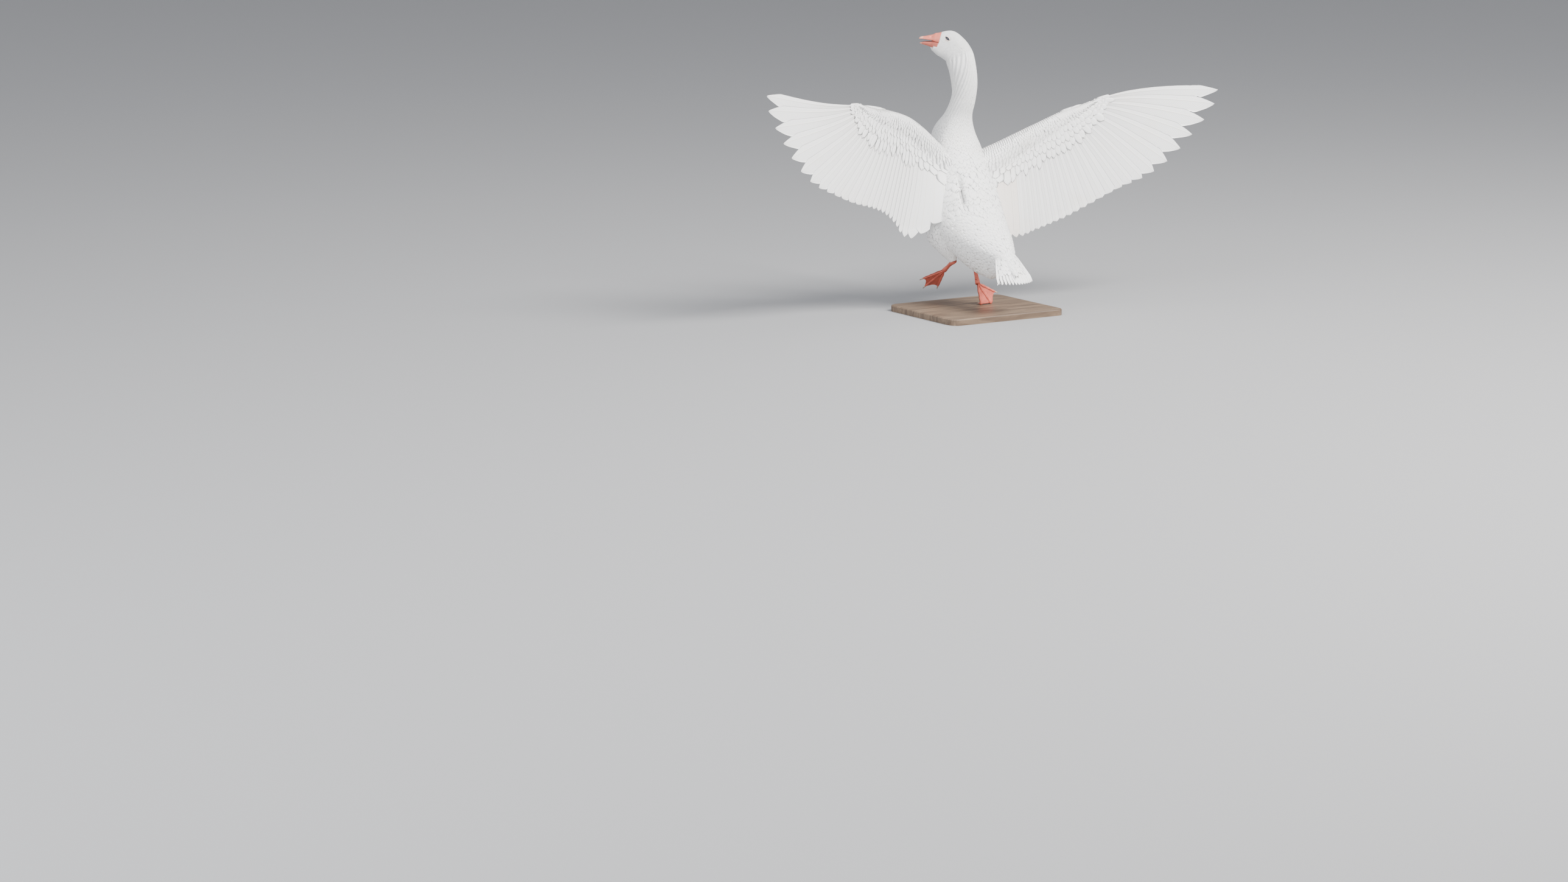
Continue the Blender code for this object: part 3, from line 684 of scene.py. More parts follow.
@dataclass(frozen=True)
class WingEdge:
    """A wing's leading edge, as a form that the alula is laid on: along runs outward, across runs forward."""

    wing: WingForm

    def place(self, root: Array, along: Array, across: Array, height: Array) -> Array:
        """Points from roots (feather count, reach), above the middle sheet.

        Args:
            root: The roots.
            along: Metres outward.
            across: Metres forward.
            height: Metres above.

        Returns:
            The points.
        """
        step = self.wing.gap_between(root[:, 0], root[:, 1])
        feather = beside(root[:, 0], along) + along / beside(step, along)
        return self.wing.point(feather, beside(root[:, 1], along) - across, 0.0, height)

    def chart(self, root: Array) -> Array:
        """The wing's unwrap."""
        return self.wing.chart(root) * np.array([1.0, 0.5]) + np.array([0.0, 0.48])


@dataclass(frozen=True)
class LimbForm:
    """A feathered thigh or a bare shank: rounds of a changing radius square to a smooth path."""

    path: Array
    radii: Array
    reference: Point = (1.0, 0.1, 0.0)

    def point(self, at: Array, angle: Array, height: Array) -> Array:
        """Points at path counts and angles: line(at) + (radius + height) (cos side + sin other).

        Args:
            at: Path counts.
            angle: Angles round the path.
            height: Metres above the surface.

        Returns:
            The points.
        """
        at, angle, height = np.broadcast_arrays(at, angle, height)
        knots = np.arange(len(self.path))
        rows = np.column_stack([self.path, self.radii])
        flat = at.reshape(-1)
        line = curve_through(knots, rows, flat)
        ahead, behind = (curve_through(knots, rows, flat + step)[:, :3] for step in (NUDGE, -NUDGE))
        forward = unit(ahead - behind)
        side = unit(np.cross(forward, self.reference))
        other = np.cross(forward, side)
        turn = angle.reshape(-1)[:, None]
        size = (line[:, 3] + height.reshape(-1))[:, None]
        past = np.clip(flat - knots[-1], 0, None)[:, None] + np.clip(flat, None, 0)[:, None]
        made = line[:, :3] + forward * past * 0.04 + size * (np.cos(turn) * side + np.sin(turn) * other)
        return made.reshape(at.shape + (3,))

    def place(self, root: Array, along: Array, across: Array, height: Array) -> Array:
        """Points from roots (path count, angle): along runs to the foot.

        Args:
            root: The roots.
            along: Metres to the foot.
            across: Metres round.
            height: Metres above.

        Returns:
            The points.
        """
        step = 0.05
        line = self.point(root[:, 0] + step, root[:, 1], 0.0) - self.point(root[:, 0] - step, root[:, 1], 0.0)
        metres = np.maximum(np.linalg.norm(line, axis=-1) / (2 * step), 0.02)
        radius = curve_through(np.arange(len(self.path)), self.radii[:, None], root[:, 0])[:, 0]
        at = beside(root[:, 0], along) + along / beside(metres, along)
        return self.point(at, beside(root[:, 1], along) + across / beside(radius, along), height)

    def chart(self, root: Array) -> Array:
        """Angle across and path count up the unwrap."""
        return pair(np.mod(root[:, 1] / ROUND, 1), 0.1 + 0.8 * root[:, 0] / len(self.path))


@dataclass(frozen=True)
class TailForm:
    """The tail's fan: feathers at a spread from minus one to one, and metres of reach from its root."""

    shift: Point
    root: Point = (-0.004, 0.164, 0.204)
    length: float = 0.133
    pitch: float = 50.0
    spread: float = 18.0
    root_width: float = 0.032
    corner_loss: float = 0.10
    arch: float = 0.020
    above: float = 0.011
    below: float = 0.080

    def reach_to_tip(self, place: Array) -> Array:
        """The fan's reach, a little less towards its corners."""
        return self.length * (1 - self.corner_loss * place**2)

    def point(self, place: Array, reach: Array, shift: Array, height: Array) -> Array:
        """Points at a spread place, a reach, a shift across and a height to the upper side.

        Args:
            place: Spread places.
            reach: Metres from the root.
            shift: Metres across.
            height: Metres above.

        Returns:
            The points.
        """
        place, reach, shift, height = np.broadcast_arrays(place, reach, shift, height)
        turn = np.radians(self.spread) * place
        away = np.cos(turn) * reach - np.sin(turn) * shift
        across = self.root_width * place + np.sin(turn) * reach + np.cos(turn) * shift
        drop = self.arch * place**2 * (0.4 + 0.6 * np.clip(reach / self.length, 0, 1))
        pitch = math.radians(self.pitch)
        back = np.array([0.0, math.cos(pitch), -math.sin(pitch)])
        up = np.array([0.0, math.sin(pitch), math.cos(pitch)])
        start = np.array(self.root) + np.array(self.shift)
        side = np.array([1.0, 0.0, 0.0])
        return start + away[..., None] * back + across[..., None] * side + (height - drop)[..., None] * up

    def gap_between(self, place: Array, reach: Array) -> Array:
        """Metres at a reach for a sixth of the way from the middle to one side."""
        return (self.root_width + np.radians(self.spread) * reach) / 6 + 0 * place


@dataclass(frozen=True)
class SternForm:
    """The feathered root of the tail: a flattened round about the fan, from above its sheet to below it.

    Its half width is the fan's own. Above, it is the upper coverts' depth, and below the deeper under
    coverts', each falling to nothing at the fan's end.
    """

    tail: TailForm

    def point(self, reach: Array, angle: Array, height: Array) -> Array:
        """Points at reaches and angles round the fan, lifted by a height.

        Args:
            reach: Metres from the root.
            angle: Angles round.
            height: Metres above.

        Returns:
            The points.
        """
        reach, angle, height = np.broadcast_arrays(reach, angle, height)
        left = np.clip(1 - reach / self.tail.length, 0, 1.2)
        above = self.tail.above * left**1.5 + 0.0015
        below = self.tail.below * left + 0.0015
        across, up = np.cos(angle), np.sin(angle)
        size = np.where(up > 0, above, below) + height
        return self.tail.point(across, reach, height * across, size * up)

    def place(self, root: Array, along: Array, across: Array, height: Array) -> Array:
        """Points from roots (reach, angle): along runs to the fan's end.

        Args:
            root: The roots.
            along: Metres backward.
            across: Metres round.
            height: Metres above.

        Returns:
            The points.
        """
        reach, angle = root.T
        edge = self.point(reach, angle + NUDGE, 0.0) - self.point(reach, angle - NUDGE, 0.0)
        metres = np.maximum(np.linalg.norm(edge, axis=-1) / (2 * NUDGE), 0.012)
        angle = beside(root[:, 1], along) + across / beside(metres, along)
        return self.point(beside(root[:, 0], along) + along, angle, height)

    def chart(self, root: Array) -> Array:
        """Angle across and reach up the unwrap."""
        return pair(np.mod(root[:, 1] / ROUND, 1), 0.3 + 4 * root[:, 0])


@dataclass(frozen=True)
class Vane:
    """A small feather's pattern: widths along its length, a round tip, its arch, thickness and tilt."""

    shares: Sizes = (0.0, 0.32)
    widths: Sizes = (0.5, 0.94)
    tip_from: float = 0.62
    tip_steps: int = 5
    tip_power: float = 1.0
    columns: int = 4
    arch: float = 0.045
    thick: float = 0.025
    tilt: float = 0.0
    rough_lie: float = 0.07
    rough_size: float = 0.10

    def outline(self) -> tuple[Array, Array]:
        """The sections' shares of the length and their shares of the width, the tip a quarter round.

        Returns:
            The two shares, one number a section.
        """
        turn = np.linspace(0, 0.45 * math.pi, self.tip_steps + 1)
        shares = np.concatenate([self.shares, self.tip_from + (1 - self.tip_from) * np.sin(turn)])
        return shares, np.concatenate([self.widths, np.cos(turn) ** self.tip_power])

    def lay(self, piece: Piece, form: Form, root: Array, length: Array, width: Array, lift: Array,
            turn: Union[Array, float], chance: np.random.Generator) -> None:
        """Lays feathers on a form.

        A point is (share length, across width), turned, at the lift less the arch.

        Args:
            piece: The piece that takes them.
            form: The surface they lie on.
            root: Their roots on the form, as (count, 2).
            length: Their lengths.
            width: Their half widths.
            lift: The heights of root and tip, as (count, 2).
            turn: How far each lies turned from the form's own lie, in radians.
            chance: The seeded source of their small differences.
        """
        count = len(root)
        if not count:
            return
        turn = turn + chance.normal(0, self.rough_lie, count)
        grown = 1 + chance.normal(0, self.rough_size, count)
        s, w = (column[None, :, None] for column in self.outline())
        top = np.linspace(-1, 1, self.columns)
        a = np.concatenate([top, top[-2:0:-1]])[None, None, :]
        side = np.concatenate([np.ones(self.columns), -np.ones(self.columns - 2)])[None, None, :]
        long = (length * grown)[:, None, None]
        half = width[:, None, None]
        along = s * long * (1 - 0.10 * a**2 * s**3)
        across = a * w * half
        cos, sin = np.cos(turn)[:, None, None], np.sin(turn)[:, None, None]
        height = lift[:, 0, None, None] + (lift[:, 1] - lift[:, 0])[:, None, None] * s**0.8
        height = height + (side * self.thick * (1 - a**2) - self.arch * a**2 + self.tilt * a) * half * w
        points = form.place(root, along * cos - across * sin, along * sin + across * cos, height + 0 * along)
        vane = pair((a + 1) / 2, s)
        bake = form.chart(root)[:, None, None, :] + (vane - 0.5) * 0.003
        tone = chance.random(count)
        piece.add_loops(points, np.broadcast_to(vane, points.shape[:-1] + (2,)), bake, tone)


@dataclass(frozen=True)
class Quill:
    """A long flight or tail feather: a thin plate with a ridge for its shaft and a shaped tip."""

    rows: int = 44
    across: Sizes = (-1, -0.84, -0.62, -0.36, -0.14, -0.045, 0, 0.045, 0.14, 0.36, 0.62, 0.84, 1)
    overlap: float = 1.28
    tip_power: float = 0.71
    tilt: float = 0.0015
    arch: float = 0.0016
    half: float = 0.00032
    shaft: float = 0.0011
    splits: int = 3
    split_places: tuple[float, float] = (0.40, 0.88)
    split_depths: tuple[float, float] = (0.03, 0.12)
    split_width: float = 0.012

    def lay(self, piece: Piece, form: Union[WingForm, TailForm], at: float, start: float, notch: float,
            inner: float, order: tuple[int, int], chance: np.random.Generator) -> None:
        """Lays one feather along a form's line.

        Half its width is half the gap between lines, times the less of the overlap and (distance to the tip /
        notch) to a power, less a few narrow splits. Its outer edge lies over its neighbour, on the upper
        side.

        Args:
            piece: The piece that takes it.
            form: The wing or the tail.
            at: Its feather count or spread place.
            start: The reach where it starts.
            notch: The depth of the outline's notch between it and its neighbours.
            inner: How much wider its inner vane is than its outer one.
            order: Its number and the count of feathers in the piece, for the baking map.
            chance: The seeded source of its splits.
        """
        share = 1 - (1 - np.linspace(0, 1, self.rows)) ** 1.5
        tip = float(form.reach_to_tip(np.array(at)))
        reach = start + share * (tip - start)
        gap = form.gap_between(np.full(self.rows, at), reach)
        left = np.clip((tip - reach) / notch, 0, None) ** self.tip_power
        wide = 0.5 * gap * np.minimum(left + 0.02, self.overlap * (0.55 + 0.45 * rise(0.0, 0.25, share)))
        a = np.array(self.across)[None, :]
        edge = np.ones((self.rows, len(self.across)))
        places = chance.uniform(*self.split_places, self.splits)
        depths = chance.uniform(*self.split_depths, self.splits)
        for place, depth, hand in zip(places, depths, chance.choice([-1, 1], self.splits)):
            cut = depth * bell(share, place, self.split_width)[:, None]
            edge = edge - cut * np.clip(a * hand, 0, 1) ** 3
        edge = edge - 0.025 * np.abs(np.sin(share * 31 + at * 5))[:, None] * np.abs(a) ** 3
        skew = np.where(a < 0, 1 + inner, 1 - inner)
        shift = a * skew * wide[:, None] * edge + inner * wide[:, None] * 0.2
        along = reach[:, None] + np.abs(a) * wide[:, None] * 0.5 * (1 - share[:, None]) * 0.2
        sheet = self.tilt * a * (1 - 0.5 * share[:, None]) - self.arch * (1 - 0.6 * share[:, None]) * a**2
        ridge = self.shaft * (1 - 0.8 * share[:, None]) * bell(a, 0.0, 0.05)
        body = self.half * (1 - 0.6 * a**2)
        upper = form.point(at, along, shift, sheet + body + ridge)
        lower = form.point(at, along, shift, sheet - body - 0.8 * ridge)
        vane = pair((a + 1) / 2, share[:, None])
        strip = pair((order[0] + 0.06 + 0.88 * vane[..., 0]) / order[1], 0.02 + 0.46 * vane[..., 1])
        piece.add_slab(upper, lower, vane, strip, strip + np.array([0, 0.5]), chance.random())


@dataclass(frozen=True)
class Plumage:
    """The small feathers along the body: length, half width, and the distances between and along rows."""

    stations: Sizes = (-1.2, 0.0, 4.0, 7.0, 8.5, 10.0, 12.6, 13.5, 15.0, 16.5)
    lengths: Sizes = (0.028, 0.036, 0.038, 0.031, 0.021, 0.0165, 0.0130, 0.0100, 0.0072, 0.0050)
    halves: Sizes = (0.0080, 0.0102, 0.0108, 0.0088, 0.0056, 0.0036, 0.0021, 0.0014, 0.00085, 0.00072)
    steps: Sizes = (0.0090, 0.0105, 0.0110, 0.0090, 0.0058, 0.0043, 0.0030, 0.0024, 0.00175, 0.00140)
    gaps: Sizes = (0.0090, 0.0112, 0.0118, 0.0096, 0.0062, 0.0042, 0.0027, 0.0020, 0.00132, 0.00112)
    root_depth: float = 0.045
    tip_height: float = 0.006
    skin_share: float = 0.090
    shortest: float = 0.0016
    bill_edge: float = 0.27
    below_bill: tuple[Point, Point] = ((0.30, 0.30, 0.72), (0.43, 0.60, 0.78))

    def at(self, station: Array, sizes: Sizes) -> Array:
        """One of the sizes at a station."""
        return np.interp(station, self.stations, sizes)

    def skin_depth(self, station: Array) -> Array:
        """How far the skin lies under the coat's surface."""
        return self.skin_share * self.at(station, self.lengths)

    def rows(self, form: BodyForm, low: float, high: float) -> Array:
        """Roots in rows round the body, each row's roots an equal arc apart and staggered with the next.

        Args:
            form: The body.
            low: The first row's station.
            high: The last row's station.

        Returns:
            The roots as (count, 2).
        """
        turn = np.linspace(0, ROUND, 97)
        roots = []
        station, row = low, 0
        while station < high:
            ring = form.point(np.full(turn.shape, station), turn, 0.0)
            roots.append(ring_roots(ring, turn, station, float(self.at(station, self.gaps)), row))
            per_station = float(np.mean(form.scale(np.full(turn.shape, station), turn)[0]))
            station += float(self.at(station, self.steps)) / max(per_station, 0.012)
            row += 1
        return np.concatenate(roots)

    def lifts(self, length: Array) -> Array:
        """The heights of root and tip."""
        return pair(-self.root_depth * length, self.tip_height * length)


@dataclass(frozen=True)
class EyePlace:
    """Where an eye stands: its middle, its lines outward, forward and upward, and the head's height round it.

    The height over the eye's middle is a cubic in the places forward and upward.
    """

    middle: Array
    out: Array
    forward: Array
    upward: Array
    cubic: Array

    @staticmethod
    def terms(x: Array, y: Array) -> Array:
        """The cubic's ten terms."""
        return np.stack([x**i * y**j for i in range(4) for j in range(4 - i)], axis=-1)

    def head(self, x: Array, y: Array) -> Array:
        """The head's height at places forward and upward."""
        return self.terms(x, y) @ self.cubic

    def local(self, points: Array) -> Array:
        """The points' places forward, upward and outward of the eye's middle."""
        away = points - self.middle
        return np.stack([away @ self.forward, away @ self.upward, away @ self.out], axis=-1)

    def world(self, x: Array, y: Array, h: Array) -> Array:
        """Points from places forward, upward and outward."""
        flat = x[..., None] * self.forward + y[..., None] * self.upward
        return self.middle + flat + h[..., None] * self.out


@dataclass(frozen=True)
class Eye:
    """An eyeball and its two lids about an almond opening, its front end the higher one."""

    radius: float = 0.0092
    sunk: float = 0.0014
    station: float = 15.12
    height_angle: float = 12.0
    half_wide: float = 0.0086
    half_high: tuple[float, float] = (0.0036, 0.0030)
    tilt: float = 33.0
    lid_reach: float = 0.0138
    lid_height: float = 0.0005
    lid_thick: float = 0.0006
    bare: tuple[float, float] = (0.0098, 0.0066)
    socket_depth: float = 0.007
    socket_edge: tuple[float, float] = (0.0070, 0.0125)
    near: float = 0.014

    def place(self, form: BodyForm, hand: Hand) -> EyePlace:
        """The eye's middle from its solid, with the head's lines turned by the opening's tilt.

        Args:
            form: The body.
            hand: Which eye.

        Returns:
            Where it stands.
        """
        low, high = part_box("eye_" + hand.value)
        middle = (np.array(low) + np.array(high)) / 2
        angle = math.radians(self.height_angle)
        if hand is Hand.RIGHT:
            angle = math.pi - angle
        out, forward, upward = form.outward(self.station, angle)
        middle = middle - self.sunk * out
        turn = math.radians(self.tilt)
        ahead = forward * math.cos(turn) + upward * math.sin(turn)
        above = upward * math.cos(turn) - forward * math.sin(turn)
        station, around = grid(np.linspace(-0.45, 0.45, 13), np.linspace(-0.7, 0.7, 13))
        near = EyePlace(middle, out, ahead, above, np.zeros(10))
        at = near.local(form.point(self.station + station.ravel(), angle + around.ravel(), 0.0))
        cubic = np.linalg.lstsq(EyePlace.terms(at[:, 0], at[:, 1]), at[:, 2], rcond=None)[0]
        return EyePlace(middle, out, ahead, above, cubic)

    def room(self, place: EyePlace, points: Array, length: Array) -> Array:
        """The lengths of feathers from roots, cut short where they would lie over the lids' bare ellipse.

        Args:
            place: Where the eye stands.
            points: The feathers' roots.
            length: Their full lengths.

        Returns:
            Their lengths, nothing for the roots within the ellipse.
        """
        at = place.local(points)
        turn = math.radians(self.tilt)
        share = np.linspace(0, 1, 11)
        x = at[:, :1] - math.cos(turn) * length[:, None] * share
        y = at[:, 1:2] + math.sin(turn) * length[:, None] * share
        over = (x / self.bare[0]) ** 2 + (y / self.bare[1]) ** 2 < 1
        over &= (np.abs(at[:, 2]) < self.near)[:, None]
        first = np.where(over.any(axis=1), share[np.argmax(over, axis=1)], 1.0)
        return first * length

    def socket(self, place: EyePlace, points: Array) -> Array:
        """The skin's points, sunk under the opening so that nothing covers the ball.

        Args:
            place: Where the eye stands.
            points: The skin's points.

        Returns:
            The points.
        """
        at = place.local(points)
        away = np.hypot(at[..., 0], at[..., 1])
        sunk = self.socket_depth * (1 - rise(*self.socket_edge, away)) * (np.abs(at[..., 2]) < self.near)
        return points - sunk[..., None] * place.out

    def ball(self, name: str, place: EyePlace, finish: Material) -> None:
        """The eyeball: a round about the outward line, its map the angle from that line over the round.

        Args:
            name: The piece's name.
            place: Where the eye stands.
            finish: Its material.
        """
        away, turn = grid(np.linspace(0.03, math.pi - 0.03, 28), full_turn(48))
        points = place.world(
            self.radius * np.sin(away) * np.cos(turn),
            self.radius * np.sin(away) * np.sin(turn),
            self.radius * np.cos(away),
        )
        chart = pair(turn / ROUND, away / math.pi)
        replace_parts(Piece.tube(name, points, chart).build(finish, Slot.EYE), name)

    def lids(self, name: str, place: EyePlace, finish: Material) -> None:
        """The lids: a ring round the opening, from its rim over the ball and down under the head's coat.

        The rim is an ellipse with pointed ends. Outward of it the height goes from the ball's own plus a
        little to the head's surface, and then below it.

        Args:
            name: The piece's name.
            place: Where the eye stands.
            finish: Its material.
        """
        turn = full_turn(56)
        spread = np.concatenate([np.linspace(0, 1, 9) ** 1.3, np.linspace(0.97, 0.03, 7)])
        upper = np.concatenate([np.ones(9), np.zeros(7)])
        high = np.where(np.sin(turn) > 0, self.half_high[0], self.half_high[1])
        rim_x = self.half_wide * np.cos(turn)
        rim_y = high * np.sin(turn) * np.abs(np.sin(turn)) ** 0.35
        far_x, far_y = self.lid_reach * np.cos(turn), 0.85 * self.lid_reach * np.sin(turn)
        x = rim_x[:, None] + (far_x - rim_x)[:, None] * spread
        y = rim_y[:, None] + (far_y - rim_y)[:, None] * spread
        away = np.hypot(x, y)
        ball = np.sqrt(np.clip(self.radius**2 - away**2, 0, None)) + self.lid_height
        head = place.head(x, y) + 0.0004 - 0.0018 * rise(0.0075, 0.0125, away)
        blend = rise(0.0046, 0.0092, away)
        lip = 0.0004 * bell(spread, 0.0, 0.12) * upper
        height = ball * (1 - blend) + head * blend + lip - self.lid_thick * (1 - upper)
        piece = Piece(name)
        chart = pair(turn[:, None] / ROUND, spread)
        piece.add_torus(place.world(x, y, height), chart)
        piece.build(finish, Slot.LEG)


@dataclass(frozen=True)
class Bill:
    """The bill: mandibles, tongue and lining, lofts over rows of distance, half width, top and bottom."""

    dip: float = 10.0
    opening: float = 10.0
    gap: float = 0.0003
    upper: tuple[Sizes, ...] = (
        (-0.0125, 0.0214, 0.0228, -0.0092),
        (-0.0060, 0.0203, 0.0217, -0.0080),
        (0.0000, 0.0186, 0.0200, -0.0064),
        (0.0110, 0.0150, 0.0146, -0.0050),
        (0.0230, 0.0134, 0.0104, -0.0038),
        (0.0350, 0.0120, 0.0068, -0.0028),
        (0.0450, 0.0100, 0.0044, -0.0028),
        (0.0500, 0.0062, 0.0020, -0.0038),
        (0.0520, 0.0030, -0.0006, -0.0034),
    )
    lower: tuple[Sizes, ...] = (
        (-0.0110, 0.0158, -0.0084, -0.0340),
        (-0.0040, 0.0150, -0.0078, -0.0318),
        (0.0000, 0.0146, -0.0076, -0.0303),
        (0.0120, 0.0124, -0.0072, -0.0240),
        (0.0260, 0.0104, -0.0066, -0.0180),
        (0.0390, 0.0082, -0.0062, -0.0130),
        (0.0455, 0.0044, -0.0062, -0.0096),
    )
    tongue: tuple[Sizes, ...] = (
        (0.0060, 0.0056, -0.0062, -0.0070),
        (0.0180, 0.0054, -0.0048, -0.0066),
        (0.0320, 0.0046, -0.0042, -0.0062),
        (0.0390, 0.0022, -0.0052, -0.0060),
    )
    lining: tuple[Sizes, ...] = (
        (0.0012, 0.0150, -0.0050, -0.0084),
        (0.0060, 0.0138, -0.0050, -0.0088),
        (0.0105, 0.0110, -0.0058, -0.0084),
    )
    sections: int = 56
    outside: int = 33
    inside: int = 15
    nostril: tuple[float, float, float, float] = (0.0150, 0.0042, 0.66, 0.20)
    nostril_cut: float = 0.16
    nostril_rim: float = 0.035
    nail: float = 0.0405
    nail_cut: float = 0.05
    base_low: float = 14.0
    base_height: float = 0.0003
    leave: tuple[float, float] = (-0.004, 0.013)
    chin_sunk: float = 0.006
    station_length: float = 0.0422

    def loft(self, form: BodyForm, rows: tuple[Sizes, ...], opening: float, upward: bool,
             hollow: float) -> tuple[Array, Array]:
        """One mandible's points and map.

        The outer skin is half a round from edge to edge, (half cos, sin) with the height stretched from
        bottom to top. The inner skin goes back straight, hollowed by a sine.

        Args:
            form: The body, whose last station the bill starts from.
            rows: The mandible's rows.
            opening: The angle it drops by besides the dip.
            upward: Whether the outer skin is the upper one.
            hollow: The depth of the hollow inside.

        Returns:
            Points as (sections, round, 3), and the map: v from 0 to 0.5 outside and on to 1 inside.
        """
        table = np.array(rows)
        share = 1 - (1 - np.linspace(0, 1, self.sections)) ** 1.4
        distance = table[0, 0] + share * (table[-1, 0] - table[0, 0])
        half, top, bottom = curve_through(table[:, 0], table[:, 1:], distance).T
        turn = np.linspace(0, math.pi, self.outside)
        back = np.linspace(-1, 1, self.inside + 2)[1:-1]
        x = np.concatenate([np.cos(turn), back])
        round_ = np.sin(turn) ** 0.92
        inner = hollow * np.cos(back * math.pi / 2)
        along = distance[:, None]
        around = np.concatenate([turn / math.pi, np.full(self.inside, -1.0)])[None]
        dent = self._dents(along, around) if upward else 0.0
        tall = (top - bottom)[:, None]
        if upward:
            out = bottom[:, None] + tall * round_
            into = bottom[:, None] + np.minimum(inner, 0.7 * tall)
        else:
            out = top[:, None] - tall * round_
            into = top[:, None] - np.minimum(inner, 0.7 * tall)
        height = np.concatenate([out, into], axis=1)
        narrow = half[:, None] * (1 + dent)
        height = height - math.tan(math.radians(self.dip + opening)) * along
        middle, forward, side, up, _ = form.sections(np.array([FACE]))
        start = middle[0] + (along + self.gap)[..., None] * forward[0]
        points = start + (narrow * x)[..., None] * side[0] + height[..., None] * up[0]
        v = np.concatenate([0.5 * turn / math.pi, 0.5 + 0.5 * (back + 1) / 2 * 0.96 + 0.02])
        chart = pair(share[:, None], v)
        if rows in (self.upper, self.lower):
            points = self._from_the_head(form, points, along, turn, upward)
        return points, chart

    def _from_the_head(self, form: BodyForm, points: Array, along: Array, turn: Array, upward: bool) -> Array:
        """A mandible's base drawn out of the head's own surface, which it leaves by a smooth step.

        The upper one's base goes over the head from gape to gape. The lower one's goes from one gape under
        it to the other, sinks below the feathers of the chin, and leaves the head sooner there.

        Args:
            form: The body.
            points: The mandible's own points, its outer skin first.
            along: Their distances from the head's last station.
            turn: The outer skin's half round.
            upward: Whether it is the upper one.

        Returns:
            The points.
        """
        low = math.radians(self.base_low)
        if upward:
            round_, chin = turn * (math.pi + 2 * low) / math.pi - low, 0 * turn
        else:
            round_, chin = -low - turn * (math.pi - 2 * low) / math.pi, np.sin(turn) ** 3
        station = FACE + np.minimum(along, 0) / self.station_length
        head = form.point(station, round_, self.base_height - self.chin_sunk * chin)
        head = head + np.maximum(along, 0)[..., None] * form.sections(np.array([FACE]))[1][0]
        leave = rise(self.leave[0] - 0.008 * chin, self.leave[1] - 0.012 * chin, along)[..., None]
        points = points.copy()
        points[:, : len(turn)] = head * (1 - leave) + points[:, : len(turn)] * leave
        return points

    def _dents(self, along: Array, around: Array) -> Array:
        """The nostrils and the groove before the nail, as a share of the half width drawn in.

        Args:
            along: Distances from the head.
            around: Shares of the half round, less than nothing inside.

        Returns:
            The shares.
        """
        place, long, angle, wide = self.nostril
        dent = np.zeros(np.broadcast_shapes(along.shape, around.shape))
        for at in (angle / math.pi, 1 - angle / math.pi):
            shape = ((along - place) / long) ** 2 + ((around - at) / (wide / math.pi)) ** 2
            dent = dent - self.nostril_cut * bell(shape, 0.0, 1.0)
            dent = dent + self.nostril_rim * bell(np.sqrt(shape), 1.45, 0.35)
        curve = self.nail + 0.004 * (2 * around - 1) ** 2
        return np.where(around >= 0, dent - self.nail_cut * bell(along, curve, 0.0012), 0.0)

    def build(self, form: BodyForm, horn: Material, shaded_lower_horn: Material, flesh: Material) -> None:
        """Makes the upper and lower mandibles, the tongue and the mouth's lining.

        Args:
            form: The body.
            horn: The upper mandible's material.
            shaded_lower_horn: The lower one's.
            flesh: The tongue's and the lining's.
        """
        parts = (
            ("bill_upper", self.upper, 0.0, True, 0.0022, horn, Slot.BILL),
            ("bill_lower", self.lower, self.opening, False, 0.0030, shaded_lower_horn, Slot.BILL),
            ("tongue", self.tongue, self.opening, True, 0.0, flesh, Slot.MOUTH),
        )
        for name, rows, opening, upward, hollow, finish, slot in parts:
            piece = Piece.tube(name, *self.loft(form, rows, opening, upward, hollow))
            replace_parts(piece.build(finish, slot), name)
        lining = Piece.tube("mouth_lining", *self.loft(form, self.lining, self.opening / 2, True, 0.0))
        lining.build(flesh, Slot.MOUTH)


